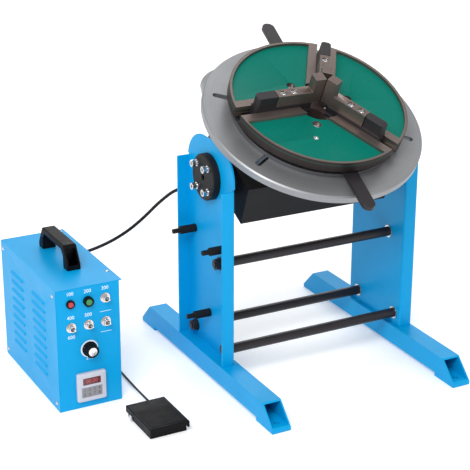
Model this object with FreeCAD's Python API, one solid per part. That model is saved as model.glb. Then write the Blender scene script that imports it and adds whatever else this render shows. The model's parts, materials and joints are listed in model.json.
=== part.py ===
"""Welding positioner: a tilting, turning table with a scroll chuck on a two-legged stand,
with its control box and foot pedal.

World frame: X along the tilt axis, Y to the rear, Z up.  The origin is on the floor, midway
between the four anchor holes of the feet.  Lengths are millimetres, angles are degrees.

Head frame: origin on the tilt axis, z along the spindle, y to the rear across the spindle.
It is tipped by TILT about X from the world frame."""
import FreeCAD, Part
import math
import os

V = FreeCAD.Vector
X_AXIS = V(1, 0, 0)
Y_AXIS = V(0, 1, 0)
Z_AXIS = V(0, 0, 1)

# ---------------------------------------------------------------- stand
WEB_SPAN = 360.0            # between the outer faces of the two leg webs
SHEET = 3.0                 # leg sheet
LEG_WIDTH = 178.0           # web, front to rear
LEG_Y = 12.0                # middle of the legs, behind the middle of the feet
FLANGE_DEPTH = 21.6         # flanges stand outwards from the web
FRONT_FLANGE_TOP = 370.0
REAR_FLANGE_TOP = 389.0
EAR_TOP = 441.0
EAR_RADIUS = 60.0
BEND_RADIUS = 4.0
RELIEF = 4.0                # notch between a flange top and the ear
AXIS_Z = 373.0              # height of the tilt axis

FOOT_WIDTH = 36.0
FOOT_HEIGHT = 36.0
FOOT_WALL = 2.5
FOOT_LENGTH = 530.0         # along the bottom; both ends are cut back at 45 degrees
FOOT_LIP = 2.4              # foot stands out past the flange edges
PAD_THICKNESS = 7.0
PAD_LENGTH = 58.0
ANCHOR_INSET = 18.0         # anchor hole from the end of the foot
ANCHOR_RADIUS = 5.5

ROD_RADIUS = 9.0
ROD_THREAD_RADIUS = 6.0
ROD_PLACES = ((-27.0, 221.0), (69.0, 65.0), (-55.0, 65.0))       # (y, z)
NUT_ACROSS = 19.0
NUT_HEIGHT = 9.0
WASHER_RADIUS = 12.0
WASHER_THICKNESS = 2.0
POST_PLACES = ((71.0, 257.0), (-47.5, 256.0), (14.0, 111.0))     # (y, z)
POST_RADIUS = 7.5
POST_LENGTH = 32.0
POST_TIP_RADIUS = 4.5
POST_TIP_LENGTH = 14.0
POST_STUD_RADIUS = 4.0

# ---------------------------------------------------------------- tilt bearing
TILT = 27.0
DISC_RADIUS = 42.0
DISC_THICKNESS = 14.0
DISC_FACE = 4.0             # end wall of the disc in front of the trunnion
DISC_HOLE_RADIUS = 5.5
DISC_CHAMFER = 1.5
TRUNNION_RADIUS = 16.0
BUSH_WALL = 4.0
FIT = 0.05                  # running clearance on radius
RING_THICKNESS = 8.0        # backing ring inside the web
TRUNNION_FLANGE_RADIUS = 36.0
TRUNNION_FLANGE = 8.0
TRUNNION_SCREW = 3.0        # radius
TRUNNION_SCREW_INSET = 8.0
TILT_SCREW_CIRCLE = 30.0
TILT_SCREW_RADIUS = 4.0
TILT_SCREW_STANDOFF = 6.0   # shank left bare between the disc and the head
SCREW_HEAD_HEIGHT = 6.0
SPRING_WASHER = 2.0

# ---------------------------------------------------------------- head
HOUSING_GAP = 30.0          # housing side to the outer face of the web, for the trunnion and its rings
HOUSING_LENGTH = WEB_SPAN - 2 * HOUSING_GAP
HOUSING_BOTTOM_DEPTH = 175.0
HOUSING_TOP_DEPTH = 160.0
HOUSING_BELOW = 40.0        # housing bottom, below the tilt axis
HOUSING_ABOVE = 32.0        # housing rim, above the tilt axis
HOUSING_WALL = 4.0
COVER_THICKNESS = 4.0
TOWER_RADIUS = 54.0         # bearing tower on the cover
LOWER_HUB_RADIUS = 42.0
LOWER_HUB_HEIGHT = 22.0
SPINDLE_BORE = 24.0
SPINDLE_RADIUS = 32.0
SPINDLE_BUSH_WALL = 6.0
BUSH_FLANGE = 4.0
BUSH_FLANGE_RADIUS = 46.0
SHOULDER_RADIUS = 42.0
SHOULDER = 4.0
SPINDLE_NUT_RADIUS = 44.0
SPINDLE_NUT = 10.0
GEAR_MODULE = 2.0
GEAR_TEETH = 60
PINION_TEETH = 20
GEAR_WIDTH = 10.0
ADDENDUM = 0.9              # of a module
DEDENDUM = 1.25
TOOTH_SHARE = 0.20          # half a tooth at the pitch circle, of a pitch
TOOTH_FOOT = 0.10           # wider at the root by this, of a pitch
TOOTH_TAPER = 0.12          # narrower at the tip
GEAR_LEVEL = 14.0           # underside of the drive gear, above the tilt axis
MOTOR_X = -60.0
MOTOR_LEVEL = -2.0
MOTOR_RADIUS = 34.0
MOTOR_START = 66.0          # nose, against the neck of the gearbox
MOTOR_BODY_START = 92.0
MOTOR_END = 242.0
MOTOR_CAP = 14.0
MOTOR_CAP_RADIUS = 31.0
MOTOR_NOSE_RADIUS = 26.0
MOTOR_FINS = 8
FIN_PITCH = 12.0
FIN_GROOVE = 4.0
FIN_DEPTH = 2.0
NECK_RADIUS = 14.0
GEARBOX_DEPTH = 64.0
GEARBOX_WIDTH = 60.0
OUTPUT_RADIUS = 6.0
OUTPUT_FLOOR = 8.0          # casting under the output shaft
OUTPUT_END_GAP = 0.5
GEARBOX_CORNER = 5.0
GEAR_CLEAR = 6.0            # gear above the gearbox
GEAR_HOLES = 6
GEAR_HOLE_RADIUS = 5.0
MOTOR_EDGE = 3.0            # rounding of the cap's rim
GLAND_X = -115.0
GLAND_ANGLE = 18.0          # gland leans back so that it points at the tilt axis
GLAND_REACH = 70.0          # tip of the gland, from the tilt axis
GLAND_NUT_RADIUS = 10.0
GLAND_NUT = 6.0
GLAND_STEP = 3.0            # thread inside the nut
GLAND_LIP = 1.0             # boot wall at its tip, round the cord

# ---------------------------------------------------------------- table and chuck
TABLE_RISE = 108.0          # table face above the tilt axis
TABLE_RADIUS = 200.0
TABLE_THICKNESS = 14.0
TABLE_CHAMFER = 2.5
TABLE_SLOTS = 6
SLOT_WIDTH = 11.0
SLOT_INNER = 112.0
SLOT_OUTER = 182.0
SPINDLE_FLANGE_RADIUS = 44.0
SPINDLE_FLANGE = 7.0
FLANGE_SCREW_CIRCLE = 37.0
FLANGE_SCREW_RADIUS = 3.0
FLANGE_SCREW_HEAD = 5.1
FLANGE_SCREW_SINK = 3.5
HEAD_GAP = 0.3              # screw heads in their counterbores
CHUCK_RADIUS = 160.0
CHUCK_BASE = 20.0           # underside of the chuck rim above the table
CHUCK_FLOOR = 34.0          # painted floor above the table
CHUCK_TOP = 40.0            # rim and guide rails above the table
CHUCK_RIM = 5.0
CHUCK_BORE = 45.0
HUB_RADIUS = 68.0
BACK_PLATE_RADIUS = 152.0
BACK_PLATE = 7.5
GUIDE_HALF = 26.0
JAW_SLOT = 20.0
WING_SLOT = 27.0
WING_LOW = 27.0
WING_HIGH = 33.0
CAVITY_RADIUS = 144.0
CAVITY_TOP = 24.0
SLIDE_GAP = 0.1             # jaws in their guides, each side
MOUNT_CIRCLE = 59.0
MOUNT_RADIUS = 8.0
MOUNT_SEAT = 12.0           # screw heads sit this far above the back plate
MOUNT_HEAD = 8.0
MOUNT_BOLT_RADIUS = 4.0
PLUG_CIRCLE = 97.0
PLUG_ANGLE = 240.0          # one locating screw, in the front floor
PLUG_RADIUS = 4.5
PLUG_SEAT = 3.0             # its hole stops this far above the scroll's cavity
PLUG_RISE = 1.0

SCROLL_RADIUS = 143.0
SCROLL_BASE = 8.0
SCROLL_FACE = 20.0
SCROLL_PITCH = 12.0
RIDGE_WIDTH = 5.0
RIDGE_HEIGHT = 3.5
RIDGE_START = 74.0
RIDGE_TURNS = 5.25
LEVER_WIDTH = 24.0
LEVER_THICKNESS = 8.0
LEVER_REACH = 243.0
LEVER_ROOT = 118.0
LEVER_ANGLE = -94.5
LEVER_LEVEL = 9.0

JAW_ANGLES = (60.0, 180.0, 300.0)
JAW_INNER = 6.0
TALL_OUTER = 26.0
TOP_JAW_OUTER = 92.0
MASTER_INNER = 22.0
MASTER_OUTER = 131.0
SPLIT_GAP = 1.5             # between the gripping jaw and the raised end of its base
MASTER_TOP = 46.0
JAW_TOP = 69.0
TALL_TOP = 96.0
JAW_WIDTH = 18.0
MASTER_BOTTOM = 24.3
TOOTH_WIDTH = 4.8
TOOTH_TIP = 20.4
TOOTH_HALF = 8.0
TEETH = 4
JAW_SCREWS = (58.5, 79.5)
JAW_SCREW_RADIUS = 6.0
JAW_SCREW_SINK = 2.0

# ---------------------------------------------------------------- control box
BOX_X = -492.0              # left side
BOX_Y = -27.0               # front panel
BOX_WIDTH = 117.0
BOX_DEPTH = 275.0
BOX_HEIGHT = 228.0
BOX_SHEET = 1.5
LID_OVERHANG = 5.0
COLUMN_PITCH = 32.0
ROW_DROP = 28.0             # upper row of controls below the lid
ROW_PITCH = 44.0
KNOB_DROP = 45.5            # knob below the lower row
UPPER_ROW = BOX_HEIGHT - ROW_DROP
LOWER_ROW = UPPER_ROW - ROW_PITCH
KNOB_ROW = LOWER_ROW - KNOB_DROP
TIMER_ROW = 40.5
TIMER_SIZE = 54.0
TIMER_BODY = 44.0
TIMER_DEPTH = 60.0
TIMER_FRAME = 7.0
TIMER_WINDOW = (16.5, 4.5, 17.5)     # half width, then bottom and top from the middle
TIMER_KEYPAD = (19.0, -19.0, 0.0)
TIMER_RECESS = 1.2
LOUVRE_ROWS = 9
LOUVRE_LENGTH = 58.0
LOUVRE_HEIGHT = 5.0
LOUVRE_DEPTH = 3.0
LOUVRE_FRONTS = (55.0, 162.0)        # behind the front panel
LOUVRE_LOW = 48.0
LOUVRE_PITCH = 17.0
SCREW_RADIUS = 3.6
SCREW_HEIGHT = 1.6
SIDE_SCREW_INSET = 13.0
LID_SCREW_FRONT = 43.0
LID_SCREW_INSET = 4.0
HANDLE_LENGTH = 139.0
HANDLE_FRONT = 74.0         # behind the front panel
HANDLE_WIDTH = 25.0
HANDLE_OFFSET = 6.0         # right of the middle of the case
HANDLE_RISE = 42.0
HANDLE_GRIP = 10.0
HANDLE_FOOT = 20.0
HANDLE_SLOPE = 19.0         # the ends lean in by this much towards the grip
HANDLE_CHEEK = 4.0
POCKET_FLOOR = 10.0         # screw seats in the handle's feet, above the lid
POCKET_CROWN = 7.0
LAMP_RING = (7.6, 4.0)      # radius and height of the pilot lamp's bezel
BUTTON_RING = (8.9, 7.5)    # and of the push button's
LAMP_RADIUS = 4.9
BUTTON_RADIUS = 5.6
CAP_RISE = 1.5              # caps stand out of their bezels
CAP_BACK = 9.0              # back face of a cap, behind the panel
CAP_ROUND = 1.2
CAP_GAP = 0.3
CAP_STROKE = 5.0            # free depth behind a cap
LAMP_BODY = 24.0            # depth of the bodies behind the panel
NECK_WALL = 0.7             # threaded neck of a bezel, in the panel's hole
SWITCH_NUT_ACROSS = 13.0
SWITCH_NUT = 2.5
SWITCH_WASHER_RADIUS = 8.8
SWITCH_WASHER = 1.0
SWITCH_BUSH_RADIUS = 5.5
SWITCH_BUSH = 9.0
TOGGLE_BALL = 2.6
TOGGLE_LENGTH = 16.0
TOGGLE_LEAN = -12.0         # levers rest up
KNOB_RADIUS = 13.7
KNOB_HEIGHT = 16.0
KNOB_CAP_RADIUS = 7.8
KNOB_GAP = 0.8
POT_RADIUS = 9.0
BOARD_THICKNESS = 1.6

# ---------------------------------------------------------------- foot pedal
PEDAL_X = -395.0
PEDAL_Y = -190.0
PEDAL_WIDTH = 73.0
PEDAL_LENGTH = 101.0
PEDAL_HEIGHT = 20.5
PEDAL_SHEET = 2.5
TREADLE_SKIRT = 12.0        # depth of the treadle's sides
TREADLE_LIP = 7.0           # depth of the treadle's front lip
BASE_HEIGHT = 13.0
PIVOT_FROM_REAR = 24.0
PIVOT_HEIGHT = 8.5
PIVOT_RADIUS = 2.5
SPRING_RADIUS = 4.0
SPRING_WIRE = 0.8
SPRING_TURNS = 4
SPRING_GUIDE_GAP = 0.4
SPRING_FROM_FRONT = 30.0
BASE_GUIDE = 5.5            # posts that keep the spring in place
TREAD_GUIDE = 3.0
CORD_OFFSET = 14.0          # cord entry, right of the pedal's middle
TREADLE_GAP = 0.5

# ---------------------------------------------------------------- cords
HEAD_CORD = 6.5             # diameters
PEDAL_CORD = 4.0
CORD_GAP = 0.35             # running gap between the head's gland and its cord
GLAND_LENGTH = 24.0
SMALL_GLAND_LENGTH = 17.0
BOOT_LENGTH = 14.0
HEAD_OUTLET = (-405.0, 150.0)        # (x, z) on the rear panel
PEDAL_OUTLET = (-392.0, 28.0)
INLET_PLACE = (-450.0, 60.0)

WEB_X = WEB_SPAN / 2
FOOT_X = WEB_X + FLANGE_DEPTH + FOOT_LIP - FOOT_WIDTH / 2
FOOT_TOP = PAD_THICKNESS + FOOT_HEIGHT
ANCHOR_Y = FOOT_LENGTH / 2 - ANCHOR_INSET
BOX_RIGHT = BOX_X + BOX_WIDTH
BOX_REAR = BOX_Y + BOX_DEPTH
BOX_MIDDLE = BOX_X + BOX_WIDTH / 2
HANDLE_X = BOX_MIDDLE + HANDLE_OFFSET
PEDAL_REAR = PEDAL_Y + PEDAL_LENGTH
PEDAL_MIDDLE = PEDAL_X + PEDAL_WIDTH / 2
SPRING_Y = PEDAL_Y + SPRING_FROM_FRONT
SPRING_GUIDE = SPRING_RADIUS - 2 * SPRING_WIRE - SPRING_GUIDE_GAP
GEAR_DISTANCE = GEAR_MODULE * (GEAR_TEETH + PINION_TEETH) / 2


# ================================================================ helpers
def block(x0, x1, y0, y1, z0, z1):
    """Box between two corners."""
    return Part.makeBox(x1 - x0, y1 - y0, z1 - z0, V(x0, y0, z0))


def rod(radius, start, end):
    """Cylinder between two points."""
    way = end - start
    return Part.makeCylinder(radius, way.Length, start, way)


def pipe(outer, inner, start, end):
    """Tube between two points."""
    way = (end - start).normalize()
    return rod(outer, start, end).cut(rod(inner, start - way, end + way))


def prism(points, way):
    """Closed outline pushed along a vector."""
    return Part.Face(Part.makePolygon(points + [points[0]])).extrude(way)


def hexagon(across, start, end):
    """Hexagonal prism between two points on one axis."""
    way = end - start
    corner = across / math.sqrt(3)
    points = [V(corner * math.cos(math.radians(60 * i)), corner * math.sin(math.radians(60 * i)), 0)
              for i in range(6)]
    shape = prism(points, V(0, 0, way.Length))
    shape.Placement = FreeCAD.Placement(start, FreeCAD.Rotation(Z_AXIS, way))
    return shape


def fuse(shapes):
    """One solid from touching solids."""
    return shapes[0].multiFuse(shapes[1:]).removeSplitter()


def group(shapes):
    """Separate solids in one node."""
    return Part.makeCompound(shapes)


def mirror_x(shape):
    """The same piece on the other side of the stand."""
    return shape.mirror(V(0, 0, 0), X_AXIS)


def turned(shape, angle, axis=Z_AXIS, centre=V(0, 0, 0)):
    """A copy turned about an axis."""
    copy = shape.copy()
    copy.rotate(centre, axis, angle)
    return copy


def in_world(shape):
    """From the head frame to the world frame."""
    copy = shape.copy()
    copy.rotate(V(0, 0, 0), X_AXIS, TILT)
    copy.translate(V(0, LEG_Y, AXIS_Z))
    return copy


def polar(radius, angle, z=0.0):
    """Point at a radius and an angle about the spindle."""
    return V(radius * math.cos(math.radians(angle)), radius * math.sin(math.radians(angle)), z)


# ================================================================ stand
def foot_tube():
    """Left foot: square tube, ends cut at 45 degrees, anchor holes in the floor wall."""
    half = FOOT_LENGTH / 2
    low, top = PAD_THICKNESS, FOOT_TOP

    def bar(inset):
        side = [V(0, -half, low + inset), V(0, half, low + inset),
                V(0, half - FOOT_HEIGHT + 2 * inset, top - inset),
                V(0, -half + FOOT_HEIGHT - 2 * inset, top - inset)]
        return prism(side, V(FOOT_WIDTH - 2 * inset, 0, 0))

    shell = bar(0)
    hollow = block(FOOT_WALL, FOOT_WIDTH - FOOT_WALL, -half, half, low + FOOT_WALL, top - FOOT_WALL)
    tube = shell.cut(hollow)
    tube.translate(V(-FOOT_X - FOOT_WIDTH / 2, 0, 0))
    for y in (-ANCHOR_Y, ANCHOR_Y):
        tube = tube.cut(rod(ANCHOR_RADIUS, V(-FOOT_X, y, 0), V(-FOOT_X, y, low + FOOT_WALL + 1)))
    return tube


def foot_pads():
    """Four flat pads under the ends of the feet, drilled with the anchor holes."""
    pads = []
    for x in (-FOOT_X, FOOT_X):
        for side in (-1, 1):
            end = side * FOOT_LENGTH / 2
            inner = end - side * PAD_LENGTH
            pad = block(x - FOOT_WIDTH / 2, x + FOOT_WIDTH / 2, min(end, inner), max(end, inner),
                        0, PAD_THICKNESS)
            hole = rod(ANCHOR_RADIUS, V(x, side * ANCHOR_Y, -1), V(x, side * ANCHOR_Y, PAD_THICKNESS + 1))
            pads.append(pad.cut(hole))
    return group(pads)


def left_leg():
    """Channel leg folded from sheet; relief notches part its rounded ear from the flanges."""
    front, rear = LEG_Y - LEG_WIDTH / 2, LEG_Y + LEG_WIDTH / 2
    outer, inner = -WEB_X, -WEB_X + SHEET
    channel = block(outer - FLANGE_DEPTH, inner, front, rear, FOOT_TOP, REAR_FLANGE_TOP)
    channel = channel.cut(block(outer - FLANGE_DEPTH - 1, outer, front + SHEET, rear - SHEET,
                                FOOT_TOP - 1, REAR_FLANGE_TOP + 1))
    bends = [e for e in channel.Edges
             if abs(e.BoundBox.XMin - inner) < 0.01 and e.BoundBox.ZLength > 1]
    channel = channel.makeFillet(BEND_RADIUS, bends)
    channel = channel.cut(block(outer - FLANGE_DEPTH - 1, inner + 1, front - 1, front + BEND_RADIUS,
                                FRONT_FLANGE_TOP, REAR_FLANGE_TOP + 1))
    ear = block(outer, inner, front, rear, FRONT_FLANGE_TOP, EAR_TOP)
    shoulders = [e for e in ear.Edges
                 if abs(e.BoundBox.ZMin - EAR_TOP) < 0.01 and e.BoundBox.YLength < 0.01]
    ear = ear.makeFillet(EAR_RADIUS, shoulders)
    for low, high, top in ((front - 1, front + BEND_RADIUS, FRONT_FLANGE_TOP),
                           (rear - BEND_RADIUS, rear + 1, REAR_FLANGE_TOP)):
        ear = ear.cut(block(outer - 1, inner + 1, low, high, FRONT_FLANGE_TOP - 1, top + RELIEF))
    leg = fuse([channel, ear])
    bore = TRUNNION_RADIUS + BUSH_WALL
    leg = leg.cut(rod(bore, V(outer - 1, LEG_Y, AXIS_Z), V(inner + 1, LEG_Y, AXIS_Z)))
    for y, z in tilt_screw_places():
        leg = leg.cut(rod(TILT_SCREW_RADIUS + FIT, V(outer - 1, y, z), V(inner + 1, y, z)))
    for y, z in ROD_PLACES:
        leg = leg.cut(rod(ROD_THREAD_RADIUS, V(outer - 1, y, z), V(inner + 1, y, z)))
    return leg


def drilled_for_posts(leg):
    """The leg with the stud holes of the side posts."""
    for y, z in POST_PLACES:
        leg = leg.cut(rod(POST_STUD_RADIUS, V(-WEB_X - 1, y, z), V(-WEB_X + SHEET + 1, y, z)))
    return leg


def tie_rods():
    """Three round bars between the webs, with threaded ends through them."""
    bars = []
    inner = WEB_X - SHEET - WASHER_THICKNESS
    end = WEB_X + WASHER_THICKNESS + NUT_HEIGHT + 2
    for y, z in ROD_PLACES:
        body = rod(ROD_RADIUS, V(-inner, y, z), V(inner, y, z))
        thread = rod(ROD_THREAD_RADIUS, V(-end, y, z), V(end, y, z))
        bars.append(fuse([body, thread]))
    return group(bars)


def tie_rod_nuts():
    """Washers inside and outside each web and a nut on every threaded end."""
    pieces = []
    inner = WEB_X - SHEET
    for side in (-1, 1):
        for y, z in ROD_PLACES:
            for start in (inner - WASHER_THICKNESS, WEB_X):
                pieces.append(pipe(WASHER_RADIUS, ROD_THREAD_RADIUS, V(side * start, y, z),
                                   V(side * (start + WASHER_THICKNESS), y, z)))
            start = WEB_X + WASHER_THICKNESS
            nut = hexagon(NUT_ACROSS, V(side * start, y, z), V(side * (start + NUT_HEIGHT), y, z))
            from_x, to_x = side * (start - 1), side * (start + NUT_HEIGHT + 1)
            bore = rod(ROD_THREAD_RADIUS, V(from_x, y, z), V(to_x, y, z))
            pieces.append(nut.cut(bore))
    return group(pieces)


def side_posts():
    """Three stepped posts on the left web, each on a stud through it."""
    posts = []
    for y, z in POST_PLACES:
        step = -WEB_X - POST_LENGTH
        tip = step - POST_TIP_LENGTH
        body = rod(POST_RADIUS, V(-WEB_X, y, z), V(step, y, z))
        nose = rod(POST_TIP_RADIUS, V(step, y, z), V(tip, y, z))
        stud = rod(POST_STUD_RADIUS, V(-WEB_X, y, z), V(-WEB_X + SHEET, y, z))
        posts.append(fuse([body, nose, stud]))
    return group(posts)


def tilt_screw_places():
    """Centres (y, z) of the four clamp screws round the tilt axis."""
    return [(LEG_Y + TILT_SCREW_CIRCLE * math.cos(math.radians(a)),
             AXIS_Z + TILT_SCREW_CIRCLE * math.sin(math.radians(a))) for a in (45, 135, 225, 315)]


def left_disc():
    """Bearing disc on the outside of the web; its pocket takes the bush and the trunnion."""
    face = -WEB_X - DISC_THICKNESS
    disc = rod(DISC_RADIUS, V(-WEB_X, LEG_Y, AXIS_Z), V(face, LEG_Y, AXIS_Z))
    rim = [e for e in disc.Edges
           if abs(e.BoundBox.XMin - face) < 0.01 and abs(e.BoundBox.XMax - face) < 0.01]
    disc = disc.makeChamfer(DISC_CHAMFER, rim)
    pocket = rod(TRUNNION_RADIUS + BUSH_WALL, V(-WEB_X + 1, LEG_Y, AXIS_Z),
                 V(face + DISC_FACE, LEG_Y, AXIS_Z))
    hole = rod(DISC_HOLE_RADIUS, V(-WEB_X, LEG_Y, AXIS_Z), V(face - 1, LEG_Y, AXIS_Z))
    disc = disc.cut(pocket).cut(hole)
    for y, z in tilt_screw_places():
        disc = disc.cut(rod(TILT_SCREW_RADIUS + FIT, V(-WEB_X + 1, y, z), V(face - 1, y, z)))
    return disc


def left_backing_ring():
    """Threaded ring inside the web that the clamp screws pull against."""
    start, end = -WEB_X + SHEET, -WEB_X + SHEET + RING_THICKNESS
    ring = pipe(DISC_RADIUS, TRUNNION_RADIUS + BUSH_WALL, V(start, LEG_Y, AXIS_Z), V(end, LEG_Y, AXIS_Z))
    for y, z in tilt_screw_places():
        ring = ring.cut(rod(TILT_SCREW_RADIUS, V(start - 1, y, z), V(end + 1, y, z)))
    return ring


def left_bush():
    """Bronze bush that the trunnion turns in."""
    outer = -WEB_X - DISC_THICKNESS + DISC_FACE
    inner = -WEB_X + SHEET + RING_THICKNESS
    return pipe(TRUNNION_RADIUS + BUSH_WALL, TRUNNION_RADIUS + FIT,
                V(outer, LEG_Y, AXIS_Z), V(inner, LEG_Y, AXIS_Z))


def left_clamp_screws():
    """Socket screws with spring washers, standing off the disc."""
    pieces = []
    face = -WEB_X - DISC_THICKNESS
    head = face - TILT_SCREW_STANDOFF
    for y, z in tilt_screw_places():
        shank = rod(TILT_SCREW_RADIUS, V(-WEB_X + SHEET + RING_THICKNESS, y, z), V(head, y, z))
        cap = rod(TILT_SCREW_RADIUS * 1.6, V(head, y, z), V(head - SCREW_HEAD_HEIGHT, y, z))
        socket = hexagon(TILT_SCREW_RADIUS * 1.5, V(head - SCREW_HEAD_HEIGHT / 2, y, z),
                         V(head - SCREW_HEAD_HEIGHT - 1, y, z))
        pieces.append(fuse([shank, cap]).cut(socket))
        pieces.append(pipe(TILT_SCREW_RADIUS * 1.6, TILT_SCREW_RADIUS + FIT, V(face, y, z),
                           V(face - SPRING_WASHER, y, z)))
    return pieces


def both_sides(pieces):
    """Pieces of the left leg and their mirror images."""
    return group(pieces + [mirror_x(p) for p in pieces])


def stand():
    """Nodes of the stand."""
    leg = left_leg()
    return {
        "foot_tubes": both_sides([foot_tube()]),
        "foot_pads": foot_pads(),
        "leg_left": drilled_for_posts(leg),
        "leg_right": mirror_x(leg),
        "tie_rods": tie_rods(),
        "tie_rod_nuts": tie_rod_nuts(),
        "side_posts": side_posts(),
        "tilt_discs": both_sides([left_disc(), left_backing_ring()]),
        "trunnion_bushes": both_sides([left_bush()]),
        "tilt_screws": both_sides(left_clamp_screws()),
    }


# ================================================================ head
def housing_block(inset, low, high):
    """Trapezoid body of the housing, narrower at the top, set in by a wall."""
    bottom = HOUSING_BOTTOM_DEPTH / 2 - inset
    top = HOUSING_TOP_DEPTH / 2 - inset
    half = HOUSING_LENGTH / 2 - inset
    side = [V(-half, -bottom, low), V(-half, bottom, low), V(-half, top, high), V(-half, -top, high)]
    return prism(side, V(2 * half, 0, 0))


def trunnion_screw_angles():
    """Angles of the screws that hold a trunnion to the housing."""
    return (0, 90, 180, 270)


def head_housing():
    """Open-topped box with a hub for the lower bush, and holes for the motor, gland and screws."""
    low, high = -HOUSING_BELOW, HOUSING_ABOVE
    shell = housing_block(0, low, high).cut(housing_block(HOUSING_WALL, low + HOUSING_WALL, high + 1))
    hub = rod(LOWER_HUB_RADIUS, V(0, 0, low), V(0, 0, low + LOWER_HUB_HEIGHT))
    shell = fuse([shell, hub])
    shell = shell.cut(rod(SPINDLE_RADIUS + SPINDLE_BUSH_WALL, V(0, 0, low - 1), V(0, 0, 0)))
    shell = shell.cut(rod(MOTOR_NOSE_RADIUS, V(MOTOR_X, MOTOR_START, MOTOR_LEVEL),
                          V(MOTOR_X, MOTOR_END, MOTOR_LEVEL)))
    shell = shell.cut(rod(GLAND_NUT_RADIUS - GLAND_STEP, V(GLAND_X, gland_base_y(), low - 1),
                          V(GLAND_X, gland_base_y(), low + HOUSING_WALL + 1)))
    for x in (-1, 1):
        for angle in trunnion_screw_angles():
            y, z = trunnion_screw(angle)
            shell = shell.cut(rod(TRUNNION_SCREW, V(x * (HOUSING_LENGTH / 2 - HOUSING_WALL - 1), y, z),
                                  V(x * (HOUSING_LENGTH / 2 + 1), y, z)))
    return shell


def trunnion_screw(angle):
    """Place (y, z) of a trunnion screw."""
    radius = TRUNNION_FLANGE_RADIUS - TRUNNION_SCREW_INSET
    return radius * math.cos(math.radians(angle)), radius * math.sin(math.radians(angle))


def left_trunnion():
    """Flanged stub shaft on the side of the housing."""
    side = -HOUSING_LENGTH / 2
    end = -WEB_X - DISC_THICKNESS + DISC_FACE + 1
    flange = rod(TRUNNION_FLANGE_RADIUS, V(side, 0, 0), V(side - TRUNNION_FLANGE, 0, 0))
    shaft = rod(TRUNNION_RADIUS, V(side - TRUNNION_FLANGE, 0, 0), V(end, 0, 0))
    shape = fuse([flange, shaft])
    for angle in trunnion_screw_angles():
        y, z = trunnion_screw(angle)
        shape = shape.cut(rod(TRUNNION_SCREW, V(side + 1, y, z), V(side - TRUNNION_FLANGE - 1, y, z)))
    return shape


def head_cover():
    """Lid of the housing, and the tower on it that carries the upper bush."""
    low = HOUSING_ABOVE
    high = low + COVER_THICKNESS
    half_length = HOUSING_LENGTH / 2
    half_depth = HOUSING_TOP_DEPTH / 2
    plate = block(-half_length, half_length, -half_depth, half_depth, low, high)
    tower_top = tower_level()
    tower = Part.makeCone(TOWER_RADIUS, BUSH_FLANGE_RADIUS, tower_top - high, V(0, 0, high))
    bore = rod(SPINDLE_RADIUS + SPINDLE_BUSH_WALL, V(0, 0, low - 1), V(0, 0, tower_top + 1))
    return group([plate.cut(bore), tower.cut(bore)])


def tower_level():
    """Top of the bearing tower: under the bush flange, the spindle shoulder and the table."""
    return TABLE_RISE - TABLE_THICKNESS - SHOULDER - BUSH_FLANGE


def head_screws():
    """Trunnion screws with button heads."""
    pieces = []
    for x in (-1, 1):
        for angle in trunnion_screw_angles():
            y, z = trunnion_screw(angle)
            outer = HOUSING_LENGTH / 2 + TRUNNION_FLANGE
            shank = rod(TRUNNION_SCREW, V(x * (HOUSING_LENGTH / 2 - HOUSING_WALL), y, z), V(x * outer, y, z))
            button = rod(1.7 * TRUNNION_SCREW, V(x * outer, y, z), V(x * (outer + TRUNNION_SCREW), y, z))
            pieces.append(fuse([shank, button]))
    return group(pieces)


def spindle_bushes():
    """Flanged bronze bushes, one in the tower and one in the lower hub."""
    outer, inner = SPINDLE_RADIUS + SPINDLE_BUSH_WALL, SPINDLE_RADIUS + FIT
    top = tower_level()
    low = -HOUSING_BELOW
    pieces = []
    for face, end, side in ((top, HOUSING_ABOVE, 1), (low, low + LOWER_HUB_HEIGHT, -1)):
        sleeve = pipe(outer, inner, V(0, 0, face), V(0, 0, end))
        flange = pipe(BUSH_FLANGE_RADIUS, inner, V(0, 0, face), V(0, 0, face + side * BUSH_FLANGE))
        pieces.append(fuse([sleeve, flange]))
    return group(pieces)


def gearbox():
    """Worm reducer on the housing floor, with its upright output shaft bore."""
    low = -HOUSING_BELOW + HOUSING_WALL
    high = GEAR_LEVEL - GEAR_CLEAR
    right = -GEAR_DISTANCE + GEARBOX_WIDTH / 2
    left = -GEAR_DISTANCE - GEARBOX_WIDTH / 2
    body = block(left, right, -GEARBOX_DEPTH / 2, GEARBOX_DEPTH / 2, low, high)
    upright = [e for e in body.Edges if e.BoundBox.ZLength > high - low - 0.01]
    body = body.makeFillet(GEARBOX_CORNER, upright)
    neck = rod(NECK_RADIUS, V(MOTOR_X, GEARBOX_DEPTH / 2 - 1, MOTOR_LEVEL),
               V(MOTOR_X, MOTOR_START, MOTOR_LEVEL))
    body = fuse([body, neck])
    return body.cut(rod(OUTPUT_RADIUS + FIT, V(-GEAR_DISTANCE, 0, low + OUTPUT_FLOOR),
                        V(-GEAR_DISTANCE, 0, high + 1)))


def gear_motor():
    """Motor behind the gearbox: nose through the rear wall, ringed drum and a smaller end cap."""
    cap_start = MOTOR_END - MOTOR_CAP

    def at(y):
        return V(MOTOR_X, y, MOTOR_LEVEL)

    drum = rod(MOTOR_RADIUS, at(MOTOR_BODY_START), at(cap_start))
    for i in range(MOTOR_FINS):
        y = cap_start - FIN_PITCH * (i + 1)
        drum = drum.cut(pipe(MOTOR_RADIUS + 1, MOTOR_RADIUS - FIN_DEPTH, at(y), at(y + FIN_GROOVE)))
    cap = rod(MOTOR_CAP_RADIUS, at(cap_start), at(MOTOR_END))
    rim = [e for e in cap.Edges if abs(e.BoundBox.YMin - MOTOR_END) < 0.01]
    cap = cap.makeFillet(MOTOR_EDGE, rim)
    nose = rod(MOTOR_NOSE_RADIUS, at(MOTOR_START), at(MOTOR_BODY_START))
    return fuse([nose, drum, cap])


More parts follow.
